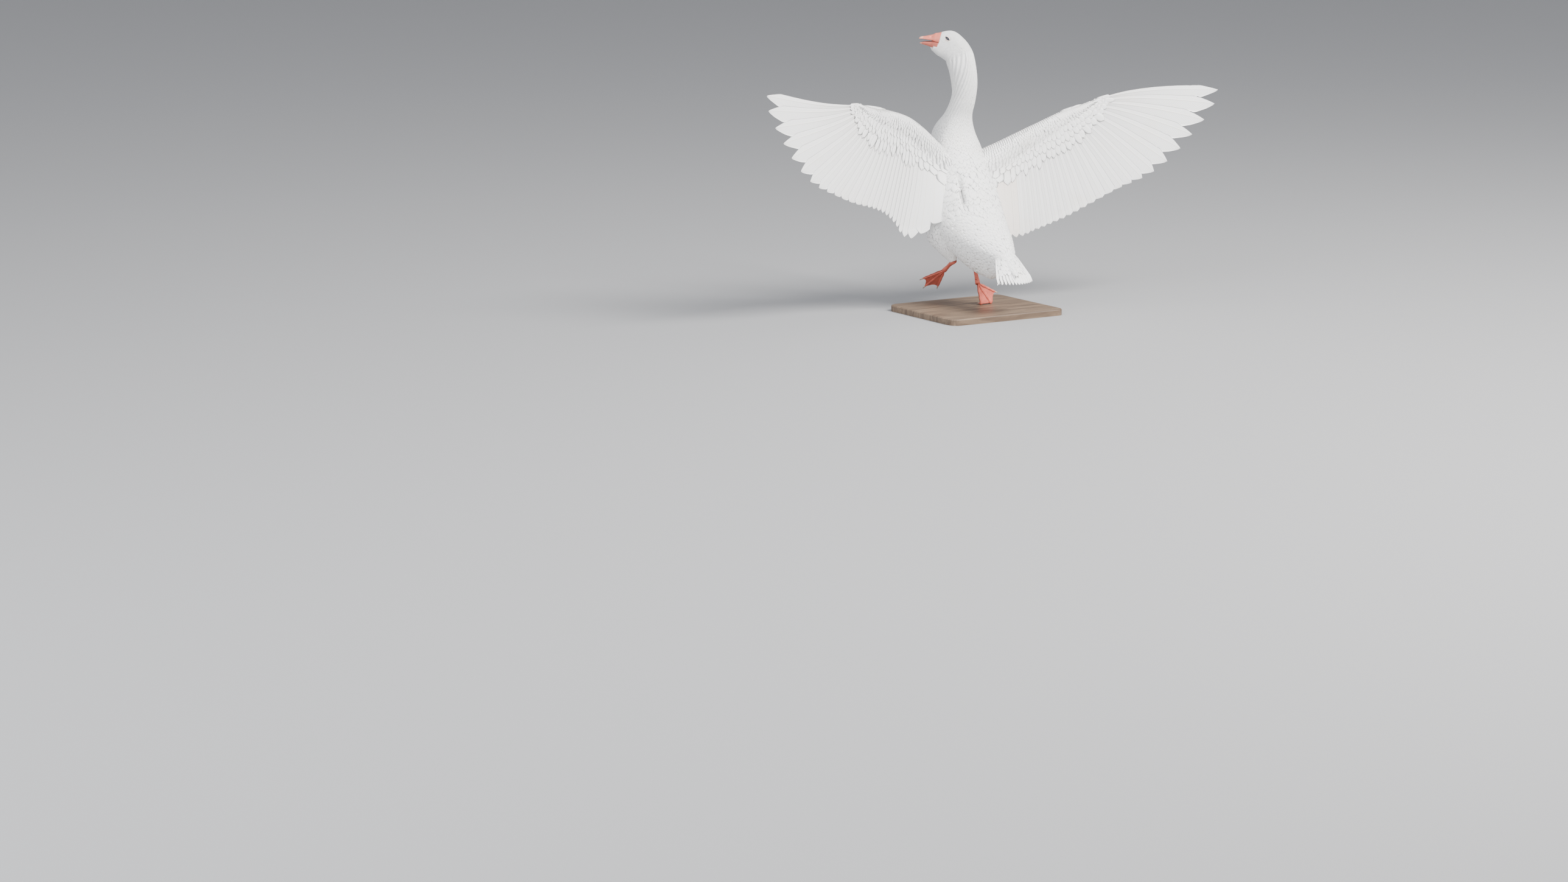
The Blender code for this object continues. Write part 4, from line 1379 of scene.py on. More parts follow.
@dataclass(frozen=True)
class Leg:
    """One leg below its feathers: the shank, the webbed foot, the raised hind toe and the claws."""

    hand: Hand
    shift: Point
    joints: tuple[Point, ...]
    bulge: Point
    thigh_radii: tuple[float, float, float, float]
    toe_aim: Point
    sole_aim: Point
    knee_share: float = 0.33
    calf_share: float = 0.68
    shank_radii: Point = (0.0095, 0.0062, 0.0078)
    toes: tuple[tuple[str, float, float], ...] = (
        ("inner", -27.0, 0.079), ("middle", 0.0, 0.098), ("outer", 27.0, 0.088),
    )
    toe_radius: float = 0.0050
    toe_taper: float = 0.35
    toe_width: float = 0.95
    web_half: float = 0.0009
    claw_length: float = 0.011
    flat_toe: tuple[float, float] = (0.6, -0.8)
    level: float = 0.0036
    knuckles: Sizes = (0.34, 0.62, 0.86)
    knuckle_length: float = 0.045
    knuckle_swell: float = 0.22
    toe_end: float = 0.964
    mean_toe: float = 0.088
    widest: float = 11.5
    web_scallop: float = 0.105
    ball_half: float = 0.0058
    edge_half: float = 0.0003

    def thigh(self) -> LimbForm:
        """The feathered thigh's form.

        Returns:
            The form, from the hip to the ankle.
        """
        hip, ankle, _ = (np.array(joint) for joint in self.joints)
        bulge = np.array(self.bulge)
        knee = hip + (ankle - hip) * self.knee_share + bulge
        calf = hip + (ankle - hip) * self.calf_share + bulge / 2
        return LimbForm(np.array([hip, knee, calf, ankle]) + np.array(self.shift), np.array(self.thigh_radii))

    def shank(self) -> LimbForm:
        """The bare shank's form, from within the thigh to within the foot.

        Returns:
            The form.
        """
        _, ankle, ball = (np.array(joint) for joint in self.joints)
        aim = unit(ball - ankle)
        start, end = ankle - aim * 0.004, ball + aim * 0.0030
        path = np.array([start, (start + end) / 2, end]) + np.array(self.shift)
        return LimbForm(path, np.array(self.shank_radii))

    def lines(self) -> tuple[Array, Array, Array]:
        """Along the middle toe, across to the outer toe, and out of the sole.

        Returns:
            The three lines, each of length one.
        """
        along = unit(np.array(self.toe_aim))
        sole = np.array(self.sole_aim)
        sole = unit(sole - along * (sole @ along))
        return along, np.cross(sole, along) * self.hand.sign, sole

    def toe(self, angle: Array, distance: Array) -> tuple[Array, Array]:
        """Points at angles and distances from the ball, and the sole's way there.

        The standing foot's toes turn to lie flat where they would sink below the ground's level.

        Args:
            angle: Angles from the middle toe.
            distance: Distances from the ball.

        Returns:
            The points and the ways.
        """
        along, across, sole = self.lines()
        turn = np.radians(angle)[..., None]
        aim = along * np.cos(turn) + across * np.sin(turn)
        start = np.array(self.joints[2])
        soles = np.broadcast_to(sole, aim.shape)
        if self.hand is Hand.LEFT:
            return start + distance[..., None] * aim, soles
        reach = (start[2] - self.level) / -aim[..., 2]
        over = np.clip(distance - reach, 0, None)
        flat = np.stack([aim[..., 0] * self.flat_toe[0], np.full(aim.shape[:-1], self.flat_toe[1]),
                         np.zeros(aim.shape[:-1])], axis=-1)
        points = start + np.minimum(distance, reach)[..., None] * aim + over[..., None] * unit(flat)
        laid = np.clip((distance - reach) / self.toe_radius + 1.2, 0, 1)[..., None]
        return points, unit(soles * (1 - laid) + np.array([0, 0, -1.0]) * laid)

    def foot(self, name: str, finish: Material) -> None:
        """The foot: rays from the ball, thick along the toes with a swelling at each joint, thin in the web.

        A toe is as wide everywhere as it is thick, so its rays close in on its line with the distance. The
        length between two toes is less by a sine, which scallops the web. A toe's half thickness is a round
        of its distance from the toe's line.

        Args:
            name: The piece's name.
            finish: Its material.
        """
        lines, sides, lengths, ridges = [], [], [], []
        fine = np.sin(np.linspace(-1, 1, 9) * math.pi / 2)
        for index, (_, angle, length) in enumerate(self.toes):
            if index:
                before = self.toes[index - 1]
                web = np.linspace(0, 1, 9)[1:-1]
                lines.append(before[1] + (angle - before[1]) * web)
                sides.append(1 - 2 * web)
                scallop = self.toe_end - self.web_scallop * np.sin(math.pi * web) ** 0.8
                lengths.append((before[2] * (1 - web) + length * web) * scallop)
                ridges.append(np.zeros(len(web)))
            lines.append(angle + 0 * fine)
            sides.append(fine)
            lengths.append(length * (1 - (1 - self.toe_end) * fine**2))
            ridges.append(np.sqrt(1 - fine**2) * 0.9 + 0.1)
        columns = (lines, sides, lengths, ridges)
        line, side, length, ridge = (np.concatenate(column)[None, :] for column in columns)
        share = np.concatenate([np.linspace(0.012, 0.94, 34), [0.97, 0.99, 1.0]])[:, None]
        knuckle = sum(bell(share, place, self.knuckle_length) for place in self.knuckles)
        toe_half = self.toe_radius * (1 - self.toe_taper * share) * (1 + self.knuckle_swell * knuckle)
        wide = np.degrees(np.arctan(self.toe_width * toe_half / (share * self.mean_toe)))
        angle = line + side * np.minimum(wide, self.widest)
        middle, facing = self.toe(angle, share * length)
        closing = np.sqrt(np.clip(1 - ((share - 0.9) / 0.1).clip(0, 1) ** 2 * 0.75, 0, 1))
        half = self.web_half + (toe_half * closing - self.web_half) * ridge
        half = half + (self.ball_half - half) * bell(share, 0.0, 0.10)
        half[:, [0, -1]] = self.edge_half
        ripple = 0.0003 * np.sin(share * 60 + line) * (ridge < 0.05)
        shift = np.array(self.shift)
        upper = middle - (half + ripple)[..., None] * facing
        lower = middle + (half * 0.8 - ripple)[..., None] * facing
        lower[..., 2] = np.maximum(lower[..., 2], 0.0003)
        upper[..., 2] = np.maximum(upper[..., 2], 0.0015)
        chart = pair((angle + 42) / 84, share)
        piece = Piece(name)
        piece.add_slab(upper + shift, lower + shift, chart, chart * 0.5, chart * 0.5 + 0.5, EVEN_TONE)
        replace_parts(piece.build(finish, Slot.LEG), name)

    def claws(self, finish: Material) -> None:
        """The three claws: curved cones, each bending to the sole by the square of its length.

        Args:
            finish: Their material.
        """
        share = np.linspace(0, 1, 12)
        for name, angle, length in self.toes:
            at = length - 0.0015 + (self.claw_length + 0.0015) * share
            line, facing = self.toe(np.full(12, angle), at)
            line = line + facing * (0.0012 * share**2)[:, None]
            radius = 0.0027 * np.sqrt(np.clip(1 - share**1.6 * 0.96, 0, 1))
            node = f"claw_{name}_{self.hand.value}"
            self._rod(node, line, radius, facing[0], finish, Slot.CLAW, 0.85)

    def hind_toe(self, name: str, skin: Material) -> None:
        """The small hind toe, off the back of the shank, ending in a blunt point.

        Args:
            name: The piece's name.
            skin: Its material.
        """
        _, ankle, ball = (np.array(joint) for joint in self.joints)
        along, _, sole = self.lines()
        up = unit(ankle - ball)
        back = unit(-along + up * (along @ up))
        start = ball + up * 0.017 + back * 0.003
        aim = unit(back - up * 0.75)
        share = np.linspace(0, 1, 12)
        line = start + aim * (share * 0.0145)[:, None] - up * (0.0015 * share**2)[:, None]
        radius = np.interp(share, (0, 0.5, 0.72, 1), (0.0042, 0.0038, 0.0026, 0.0008))
        self._rod(name, line, radius, sole, skin, Slot.LEG, 1.0)

    def _rod(self, name: str, line: Array, radius: Array, flat: Array, finish: Material, slot: Slot,
             squash: float) -> None:
        """A tapered rod along a line, a little flattened one way, that replaces its node.

        Args:
            name: The piece's and its node's name.
            line: Points along its middle.
            radius: Its radius at each.
            flat: The way it is flattened.
            finish: Its material.
            slot: Its slot.
            squash: The flattened share.
        """
        forward = unit(np.gradient(line, axis=0))
        side = unit(np.cross(forward, flat + 1e-3))
        other = np.cross(forward, side) * squash
        turn = full_turn(14)
        ring = np.cos(turn)[:, None] * side[:, None] + np.sin(turn)[:, None] * other[:, None]
        points = line[:, None] + radius[:, None, None] * ring + np.array(self.shift)
        points[..., 2] = np.maximum(points[..., 2], self.shift[2] + 0.0002)
        chart = np.stack(grid(np.linspace(0, 1, len(line)), turn / ROUND), axis=-1)
        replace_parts(Piece.tube(name, points, chart).build(finish, slot), name)

    def shank_piece(self, name: str, finish: Material) -> None:
        """The shank: a round that swells at the ankle's and the foot's joints.

        Args:
            name: The piece's name.
            finish: Its material.
        """
        form = self.shank()
        along = np.concatenate([np.linspace(0, 2, 30), 2 + 0.16 * np.sin(np.linspace(0.2, 1.5, 6))])
        at, turn = grid(along, full_turn(24))
        height = 0.0012 * bell(at, 0.1, 0.35) + 0.0004 * bell(at, 1.9, 0.3) - 0.0004 * np.cos(2 * turn)
        height = height - 0.0072 * (1 - np.sqrt(np.clip(1 - (np.clip(at - 2, 0, 1) / 0.1615) ** 2, 0, 1)))
        points = form.point(at, turn, height)
        chart = pair(at / 2, turn / ROUND)
        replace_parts(Piece.tube(name, points, chart).build(finish, Slot.LEG), name)


@dataclass(frozen=True)
class Value:
    """A number's or a colour's socket in a recipe, with the usual sums."""

    recipe: "Recipe"
    socket: bpy.types.NodeSocket

    def _sum(self, operation: str, first: "Operand", second: "Operand") -> "Value":
        """One step of arithmetic."""
        return self.recipe.add("ShaderNodeMath", {"operation": operation}, {0: first, 1: second})

    def __add__(self, other: "Operand") -> "Value":
        """The sum."""
        return self._sum("ADD", self, other)

    __radd__ = __add__

    def __mul__(self, other: "Operand") -> "Value":
        """The product."""
        return self._sum("MULTIPLY", self, other)

    __rmul__ = __mul__

    def __sub__(self, other: "Operand") -> "Value":
        """This less the other."""
        return self._sum("SUBTRACT", self, other)

    def __rsub__(self, other: "Operand") -> "Value":
        """The other less this."""
        return self._sum("SUBTRACT", other, self)

    def size(self) -> "Value":
        """This without its sign."""
        return self._sum("ABSOLUTE", self, 0.0)

    def wave(self) -> "Value":
        """The sine of this."""
        return self._sum("SINE", self, 0.0)

    def span(self, low: float, high: float) -> "Value":
        """Nothing at low and one at high, smooth between and held beyond."""
        inputs = {"Value": self, "From Min": low, "From Max": high}
        return self.recipe.add("ShaderNodeMapRange", {"interpolation_type": "SMOOTHSTEP"}, inputs)


Operand = Union[Value, float]
Paint = Union[Value, Colour]


class Recipe:
    """A material under making: its node tree and its one shader."""

    def __init__(self, name: str, roughness: float, **constants: float) -> None:
        """Starts the material, with the shader's constants.

        Args:
            name: The material's name.
            roughness: Its roughness.
            constants: Other constants, with underscores for spaces.
        """
        self.material = bpy.data.materials.new(name)
        self.material.use_nodes = True
        self.tree = self.material.node_tree
        self.shader = self.tree.nodes["Principled BSDF"]
        self.shader.inputs["Roughness"].default_value = roughness
        for key, number in constants.items():
            self.shader.inputs[key.replace("_", " ")].default_value = number

    def add(self, kind: str, settings: dict[str, Any], inputs: dict[Any, Any], output: Any = 0) -> Value:
        """Adds a node: its settings first, then its inputs.

        Args:
            kind: The node's type.
            settings: Its properties.
            inputs: What goes into its sockets: a value, a number or a colour.
            output: The socket wanted.

        Returns:
            The wanted output.
        """
        node = self.tree.nodes.new(kind)
        for key, setting in settings.items():
            setattr(node, key, setting)
        for key, given in inputs.items():
            self.feed(node.inputs[key], given)
        return Value(self, node.outputs[output])

    def feed(self, socket: bpy.types.NodeSocket, given: Any) -> None:
        """Links a value to a socket, or sets its constant.

        Args:
            socket: The socket.
            given: A value, a number or a colour.
        """
        if isinstance(given, Value):
            self.tree.links.new(given.socket, socket)
        elif isinstance(given, tuple) and len(given) == 3 and socket.type == "RGBA":
            socket.default_value = (*given, 1.0)
        else:
            socket.default_value = given

    def mix(self, share: Operand, first: Paint, second: Paint) -> Value:
        """The first colour going over to the second."""
        inputs = {0: share, 6: first, 7: second}
        return self.add("ShaderNodeMix", {"data_type": "RGBA", "clamp_factor": True}, inputs, 2)

    def map(self, name: str) -> tuple[Value, Value]:
        """The two coordinates of a map of the piece.

        Args:
            name: The map's name.

        Returns:
            Its first and second coordinate.
        """
        chart = self.add("ShaderNodeUVMap", {"uv_map": name}, {})
        split = self.add("ShaderNodeSeparateXYZ", {}, {0: chart})
        return split, Value(self, split.socket.node.outputs[1])

    def tone(self) -> Value:
        """The piece's own number, one a feather."""
        return self.add("ShaderNodeAttribute", {"attribute_name": "tone"}, {}, "Fac")

    def place(self) -> Value:
        """The place in the object."""
        return self.add("ShaderNodeTexCoord", {}, {}, "Object")

    def noise(self, scale: float, detail: float = 3.0) -> Value:
        """Soft noise at a scale a metre."""
        return self.add("ShaderNodeTexNoise", {}, {"Vector": self.place(), "Scale": scale, "Detail": detail})

    def cells(self, scale: float, feature: str = "F1") -> Value:
        """Distance in scattered cells at a scale a metre."""
        inputs = {"Vector": self.place(), "Scale": scale}
        return self.add("ShaderNodeTexVoronoi", {"feature": feature}, inputs, "Distance")

    def relief(self, height: Value, depth: float) -> None:
        """Sets the shader's bump from a height in shares of a depth in metres.

        Args:
            height: The height's value.
            depth: What a height of one means in metres.
        """
        inputs = {"Height": height, "Distance": depth, "Strength": 1.0}
        bump = self.add("ShaderNodeBump", {}, inputs, "Normal")
        self.feed(self.shader.inputs["Normal"], bump)

    def paint(self, colour: Paint) -> None:
        """Sets the shader's colour."""
        self.feed(self.shader.inputs["Base Color"], colour)

    def polish(self, roughness: Value) -> None:
        """Sets the shader's varying roughness."""
        self.feed(self.shader.inputs["Roughness"], roughness)


@dataclass(frozen=True)
class FeatherFinish:
    """White feather: barbs slanting from the shaft, painted shade at the root, each one slightly different.
    """

    name: str
    light: Colour = (0.90, 0.895, 0.88)
    # The darker white: painted shade at the roots, and part of each feather's own tone and barb stripes.
    shade: Colour = (0.80, 0.785, 0.77)
    barbs: float = 60.0
    slant: float = 24.0
    barb_depth: float = 0.00006
    shaft: Colour = (0.87, 0.84, 0.76)
    shaft_width: float = 0.03
    stain: Colour = (0.84, 0.80, 0.72)

    def make(self) -> Material:
        """The material.

        Returns:
            The finished material.
        """
        recipe = Recipe(self.name, 0.62, Sheen_Weight=0.25, Sheen_Roughness=0.5)
        across, along = recipe.map("Vane")
        from_shaft = (across - 0.5).size() * 2.0
        stripe = (from_shaft * self.slant - along * self.barbs).wave() * 0.5 + 0.5
        shaft = 1.0 - from_shaft.span(self.shaft_width * 0.5, self.shaft_width * 1.6)
        cloud = recipe.noise(9.0)
        # Painted shade: each feather darker towards its root, where the next feathers overlap it.
        base = recipe.mix(along.span(0.0, 0.75), self.shade, self.light)
        base = recipe.mix(recipe.tone() * 0.20, base, self.shade)
        base = recipe.mix(cloud.span(0.52, 0.75) * 0.35, base, self.stain)
        base = recipe.mix(stripe * 0.10, base, self.shade)
        recipe.paint(recipe.mix(shaft * 0.75, base, self.shaft))
        recipe.relief(stripe * 0.5 + shaft, self.barb_depth)
        recipe.polish(0.52 + stripe * 0.16)
        return recipe.material


@dataclass(frozen=True)
class SkinFinish:
    """The coat's own whites on the skin below it, in soft down."""

    name: str
    light: Colour = (0.86, 0.85, 0.83)
    shade: Colour = (0.74, 0.72, 0.70)

    def make(self) -> Material:
        """The material.

        Returns:
            The finished material.
        """
        recipe = Recipe(self.name, 0.8)
        down = recipe.noise(420.0)
        recipe.paint(recipe.mix(down, self.shade, self.light))
        recipe.relief(down, 0.0008)
        return recipe.material


@dataclass(frozen=True)
class HornFinish:
    """Bill horn: salmon orange with a paler nail, painted shade along the cutting edges and a dark red
    inside.
    """

    name: str
    horn: Colour
    pale: Colour = (0.80, 0.42, 0.31)
    deep: Colour = (0.50, 0.080, 0.048)
    inside: Colour = (0.26, 0.050, 0.045)
    nail_from: float = 0.78

    def make(self) -> Material:
        """The material.

        Returns:
            The finished material.
        """
        recipe = Recipe(self.name, 0.4, Specular_IOR_Level=0.45, Coat_Weight=0.15, Coat_Roughness=0.35)
        along, around = recipe.map("Vane")
        cloud = recipe.noise(160.0)
        fine = recipe.noise(1100.0)
        base = recipe.mix(cloud, self.horn, self.deep)
        base = recipe.mix(fine * 0.35, base, self.pale)
        base = recipe.mix(along.span(self.nail_from, self.nail_from + 0.09) * 0.7, base, self.pale)
        # Painted shade: darker along the cutting edges, where the mandibles meet.
        rim = (around - 0.25).size().span(0.21, 0.25)
        base = recipe.mix(rim * 0.5, base, self.deep)
        recipe.paint(recipe.mix(around.span(0.505, 0.53), base, self.inside))
        combs = (along * 420.0).wave() * rim
        recipe.relief(fine * 0.5 + cloud * 0.5 + combs * 0.4, 0.0003)
        recipe.polish(0.34 + fine * 0.2)
        return recipe.material


@dataclass(frozen=True)
class FleshFinish:
    """Wet flesh of the tongue and the mouth's lining, with small points."""

    name: str
    flesh: Colour = (0.34, 0.085, 0.075)
    pale: Colour = (0.52, 0.22, 0.19)

    def make(self) -> Material:
        """The material.

        Returns:
            The finished material.
        """
        recipe = Recipe(self.name, 0.3, Coat_Weight=0.4, Coat_Roughness=0.2)
        cells = recipe.cells(900.0)
        recipe.paint(recipe.mix(cells, self.flesh, self.pale))
        recipe.relief(cells, 0.0004)
        return recipe.material


@dataclass(frozen=True)
class LegFinish:
    """Scaled skin of the leg: pink orange plates with paler, rougher seams."""

    name: str
    plate: Colour = (0.62, 0.125, 0.082)
    deep: Colour = (0.46, 0.075, 0.054)
    seam: Colour = (0.64, 0.180, 0.128)
    scale: float = 520.0
    depth: float = 0.00022

    def make(self) -> Material:
        """The material.

        Returns:
            The finished material.
        """
        recipe = Recipe(self.name, 0.5, Specular_IOR_Level=0.4)
        edge = recipe.cells(self.scale, "DISTANCE_TO_EDGE")
        plates = edge.span(0.0, 0.16)
        cloud = recipe.noise(70.0)
        base = recipe.mix(cloud.span(0.35, 0.7), self.plate, self.deep)
        recipe.paint(recipe.mix(plates, self.seam, base))
        recipe.relief(plates + recipe.noise(900.0) * 0.15, self.depth)
        recipe.polish(0.62 - plates * 0.16)
        return recipe.material


@dataclass(frozen=True)
class LidFinish:
    """The lids: a rim dark with painted shade and pinkish white, finely wrinkled skin beyond it."""

    name: str
    # Painted shade round the opening, so that it reads larger.
    rim: Colour = (0.20, 0.115, 0.090)
    skin: Colour = (0.82, 0.70, 0.64)

    def make(self) -> Material:
        """The material.

        Returns:
            The finished material.
        """
        recipe = Recipe(self.name, 0.5)
        _, spread = recipe.map("Vane")
        wrinkle = recipe.noise(900.0)
        folds = (spread * 46.0 + wrinkle * 4.0).wave()
        # Painted shade at the rim, pinkish skin beyond it.
        recipe.paint(recipe.mix(spread.span(0.05, 0.17), self.rim, self.skin))
        recipe.relief(folds * 0.4 + wrinkle, 0.00035)
        return recipe.material


@dataclass(frozen=True)
class EyeFinish:
    """The eyeball: a black pupil, a dark blue-grey iris with fine rays, and a dark rim."""

    name: str
    iris: Colour = (0.022, 0.034, 0.052)
    rays: Colour = (0.050, 0.072, 0.100)
    dark: Colour = (0.012, 0.012, 0.016)

    def make(self) -> Material:
        """The material.

        Returns:
            The finished material.
        """
        recipe = Recipe(self.name, 0.08, Coat_Weight=0.4, Coat_Roughness=0.02)
        turn, away = recipe.map("Vane")
        ray = (turn * 376.99).wave() * 0.5 + 0.5
        iris = recipe.mix(ray * recipe.noise(1800.0), self.iris, self.rays)
        inside = recipe.mix(away.span(0.115, 0.130), self.dark, iris)
        recipe.paint(recipe.mix(away.span(0.235, 0.260), inside, self.dark))
        return recipe.material


@dataclass(frozen=True)
class ClawFinish:
    """Claw horn: grey brown, darker to the point, grooved along."""

    name: str
    base: Colour = (0.46, 0.33, 0.25)
    point: Colour = (0.20, 0.15, 0.12)

    def make(self) -> Material:
        """The material.

        Returns:
            The finished material.
        """
        recipe = Recipe(self.name, 0.42)
        along, around = recipe.map("Vane")
        grain = (around * 88.0).wave() * 0.5 + 0.5
        recipe.paint(recipe.mix(along.span(0.2, 1.0), self.base, self.point))
        recipe.relief(grain + recipe.noise(800.0), 0.00015)
        return recipe.material


@dataclass(frozen=True)
class BoardFinish:
    """Dark oiled oak of the stand, its grain along X."""

    name: str
    light: Colour = (0.20, 0.135, 0.085)
    dark: Colour = (0.095, 0.060, 0.038)
    stretch: Point = (2.2, 26.0, 9.0)

    def make(self) -> Material:
        """The material.

        Returns:
            The finished material.
        """
        recipe = Recipe(self.name, 0.45, Coat_Weight=0.12, Coat_Roughness=0.3)
        inputs = {"Vector": recipe.place(), "Scale": self.stretch}
        stretched = recipe.add("ShaderNodeMapping", {"vector_type": "POINT"}, inputs)
        inputs = {"Vector": stretched, "Scale": 3.0, "Detail": 7.0, "Distortion": 0.8}
        grain = recipe.add("ShaderNodeTexNoise", {}, inputs)
        inputs = {"Vector": stretched, "Scale": 22.0, "Detail": 4.0}
        pores = recipe.add("ShaderNodeTexNoise", {}, inputs)
        base = recipe.mix(grain.span(0.3, 0.7), self.dark, self.light)
        recipe.paint(recipe.mix(pores.span(0.55, 0.75) * 0.6, base, self.dark))
        recipe.relief(grain * 0.6 + pores * 0.6, 0.0004)
        recipe.polish(0.38 + pores * 0.22)
        return recipe.material


@dataclass(frozen=True)
class FloorFinish:
    """A plain pale matt floor."""

    name: str
    colour: Colour = (0.30, 0.30, 0.305)
    shade: Colour = (0.25, 0.25, 0.26)

    def make(self) -> Material:
        """The material.

        Returns:
            The finished material.
        """
        recipe = Recipe(self.name, 0.9)
        recipe.paint(recipe.mix(recipe.noise(0.4) * 0.06, self.colour, self.shade))
        return recipe.material


@dataclass(frozen=True)
class Coat:
    """Lays every small feather of the goose, and the long ones of the wings and the tail."""

    body: BodyForm
    wings: tuple[WingForm, WingForm]
    tail: TailForm
    legs: tuple[Leg, Leg]
    eye: Eye
    plumage: Plumage
    white: Material
    plush: Material
    long_white: Material
    # The right tertials' white, darker and warmer: painted shade and a painted warm reflection.
    shade_reflection_white: Material
    greater_root: float = -0.0030
    greater_tiers: tuple[Sizes, ...] = (
        (0.86, 0.275, 0.66, -0.0010),
        (0.74, 0.190, 0.64, -0.0002),
        (0.62, 0.140, 0.62, 0.0004),
    )
    coverts_end: float = 0.62
    tail_count: int = 13
    stern_end: float = 0.088
    stern_gap: float = 0.0105

    def _chance(self, extra: int) -> np.random.Generator:
        """A seeded source for one piece."""
        return np.random.default_rng(COAT_SEED + extra)

    def body_feathers(self) -> None:
        """The trunk, neck and head in eight pieces of rows."""
        places = [self.eye.place(self.body, hand) for hand in Hand]
        fine = Vane(tip_steps=3, arch=0.05, thick=0.02)
        finest = Vane(tip_steps=3, columns=3, arch=0.04, thick=0.02)
        spans = (
            ("coat_rump", -1.2, 3.0, Vane(), self.white),
            ("coat_back", 3.0, 7.6, Vane(), self.white),
            ("coat_neck_lower", 7.6, 10.6, Vane(tip_steps=4), self.white),
            ("coat_neck_middle", 10.6, 12.0, Vane(tip_steps=3), self.white),
            ("coat_neck_upper", 12.0, 13.2, fine, self.plush),
            ("coat_head_back", 13.2, 14.2, finest, self.plush),
            ("coat_head_middle", 14.2, 15.0, finest, self.plush),
            ("coat_head_front", 15.0, 16.46, finest, self.plush),
        )
        for number, (name, low, high, vane, finish) in enumerate(spans):
            root = self.plumage.rows(self.body, low, high)
            at = self.body.point(root[:, 0], root[:, 1], 0.0)
            length = self.plumage.at(root[:, 0], self.plumage.lengths)
            for place in places:
                length = self.eye.room(place, at, length)
            keep = self._off_the_bill(root) & self._off_the_groove(root) & (length > self.plumage.shortest)
            root, length = root[keep], length[keep]
            half = self.plumage.at(root[:, 0], self.plumage.halves)
            piece = Piece(name)
            flatter = 1 - 0.35 * rise(11.5, 13.5, root[:, 0])
            lift = self.plumage.lifts(length) * flatter[:, None]
            vane.lay(piece, self.body, root, length, half, lift, 0.0, self._chance(number))
            piece.build(finish, Slot.FEATHER)

    def _off_the_bill(self, root: Array) -> Array:
        """Whether roots lie behind the bill's base: its edge above, the gape's corner, and the chin's front.

        Args:
            root: The roots.

        Returns:
            Yes or no for each.
        """
        down = -np.sin(root[:, 1])
        gape, chin = (far * rise(low, high, down) for far, low, high in self.plumage.below_bill)
        return root[:, 0] < FACE - self.plumage.bill_edge + gape + chin

    def _off_the_groove(self, root: Array) -> Array:
        """Whether roots lie beside the back's groove, or past its ends.

        Args:
            root: Their places, as (count, 2).

        Returns:
            Yes or no for each.
        """
        beside = np.abs(root[:, 1] - self.body.groove_angle) > self.body.groove_clear
        low, high = self.body.groove_open
        return beside | (root[:, 0] < low) | (root[:, 0] > high)

    def scapulars(self) -> None:
        """Long feathers over the shoulders and the back, in two groups that part along the groove."""
        piece = Piece("coat_scapulars")
        vane = Vane(shares=(0.0, 0.2, 0.42), widths=(0.5, 0.84, 1.0), tip_from=0.66)
        chance = self._chance(11)
        for hand in Hand:
            for row, station in enumerate(np.arange(3.4, 7.9, 0.24)):
                size = float(np.interp(station, (3.4, 5.4, 7.0, 7.9), (0.050, 0.064, 0.046, 0.030)))
                shut = rise(4.8, 5.8, station)
                end = 42.0 + 41.0 * shut if hand is Hand.LEFT else 111.5 - 28.5 * shut
                angle = np.radians(np.arange(10 + 170 * size * (row % 2), end, 340 * size / 2))
                angle = angle if hand is Hand.LEFT else math.pi - angle
                long = np.full(len(angle), size)
                root = np.column_stack([np.full(len(angle), station), angle])
                root = root + chance.normal(0, 1, root.shape) * np.array([0.06, 0.02])
                tip = 0.014 - 0.045 * rise(6.7, 7.7, station)
                lift = pair(-0.035 * long, tip * long)
                vane.lay(piece, self.body, root, long, 0.24 * long, lift, 0.10 * hand.sign, chance)
        piece.build(self.white, Slot.FEATHER)

    def thigh_feathers(self) -> None:
        """The thighs, in rows round them that thin to the ankle."""
        for number, leg in enumerate(self.legs):
            form = leg.thigh()
            piece = Piece("coat_thigh_" + leg.hand.value)
            chance = self._chance(20 + number)
            at, row = 0.35, 0
            while at < 2.96:
                radius = float(curve_through(np.arange(4), form.radii[:, None], np.array([at]))[0, 0])
                long = float(np.interp(at, (0, 1.5, 2.5, 3), (0.034, 0.028, 0.019, 0.011)))
                count = max(int(ROUND * radius / (0.31 * long)), 8)
                angle = (np.arange(count) + 0.5 * (row % 2)) / count * ROUND
                root = np.column_stack([np.full(count, at), angle])
                length = np.full(count, long)
                Vane().lay(piece, form, root, length, 0.27 * length, self.plumage.lifts(length), 0.0, chance)
                at += 0.30 * long / 0.055
                row += 1
            piece.build(self.white, Slot.FEATHER)

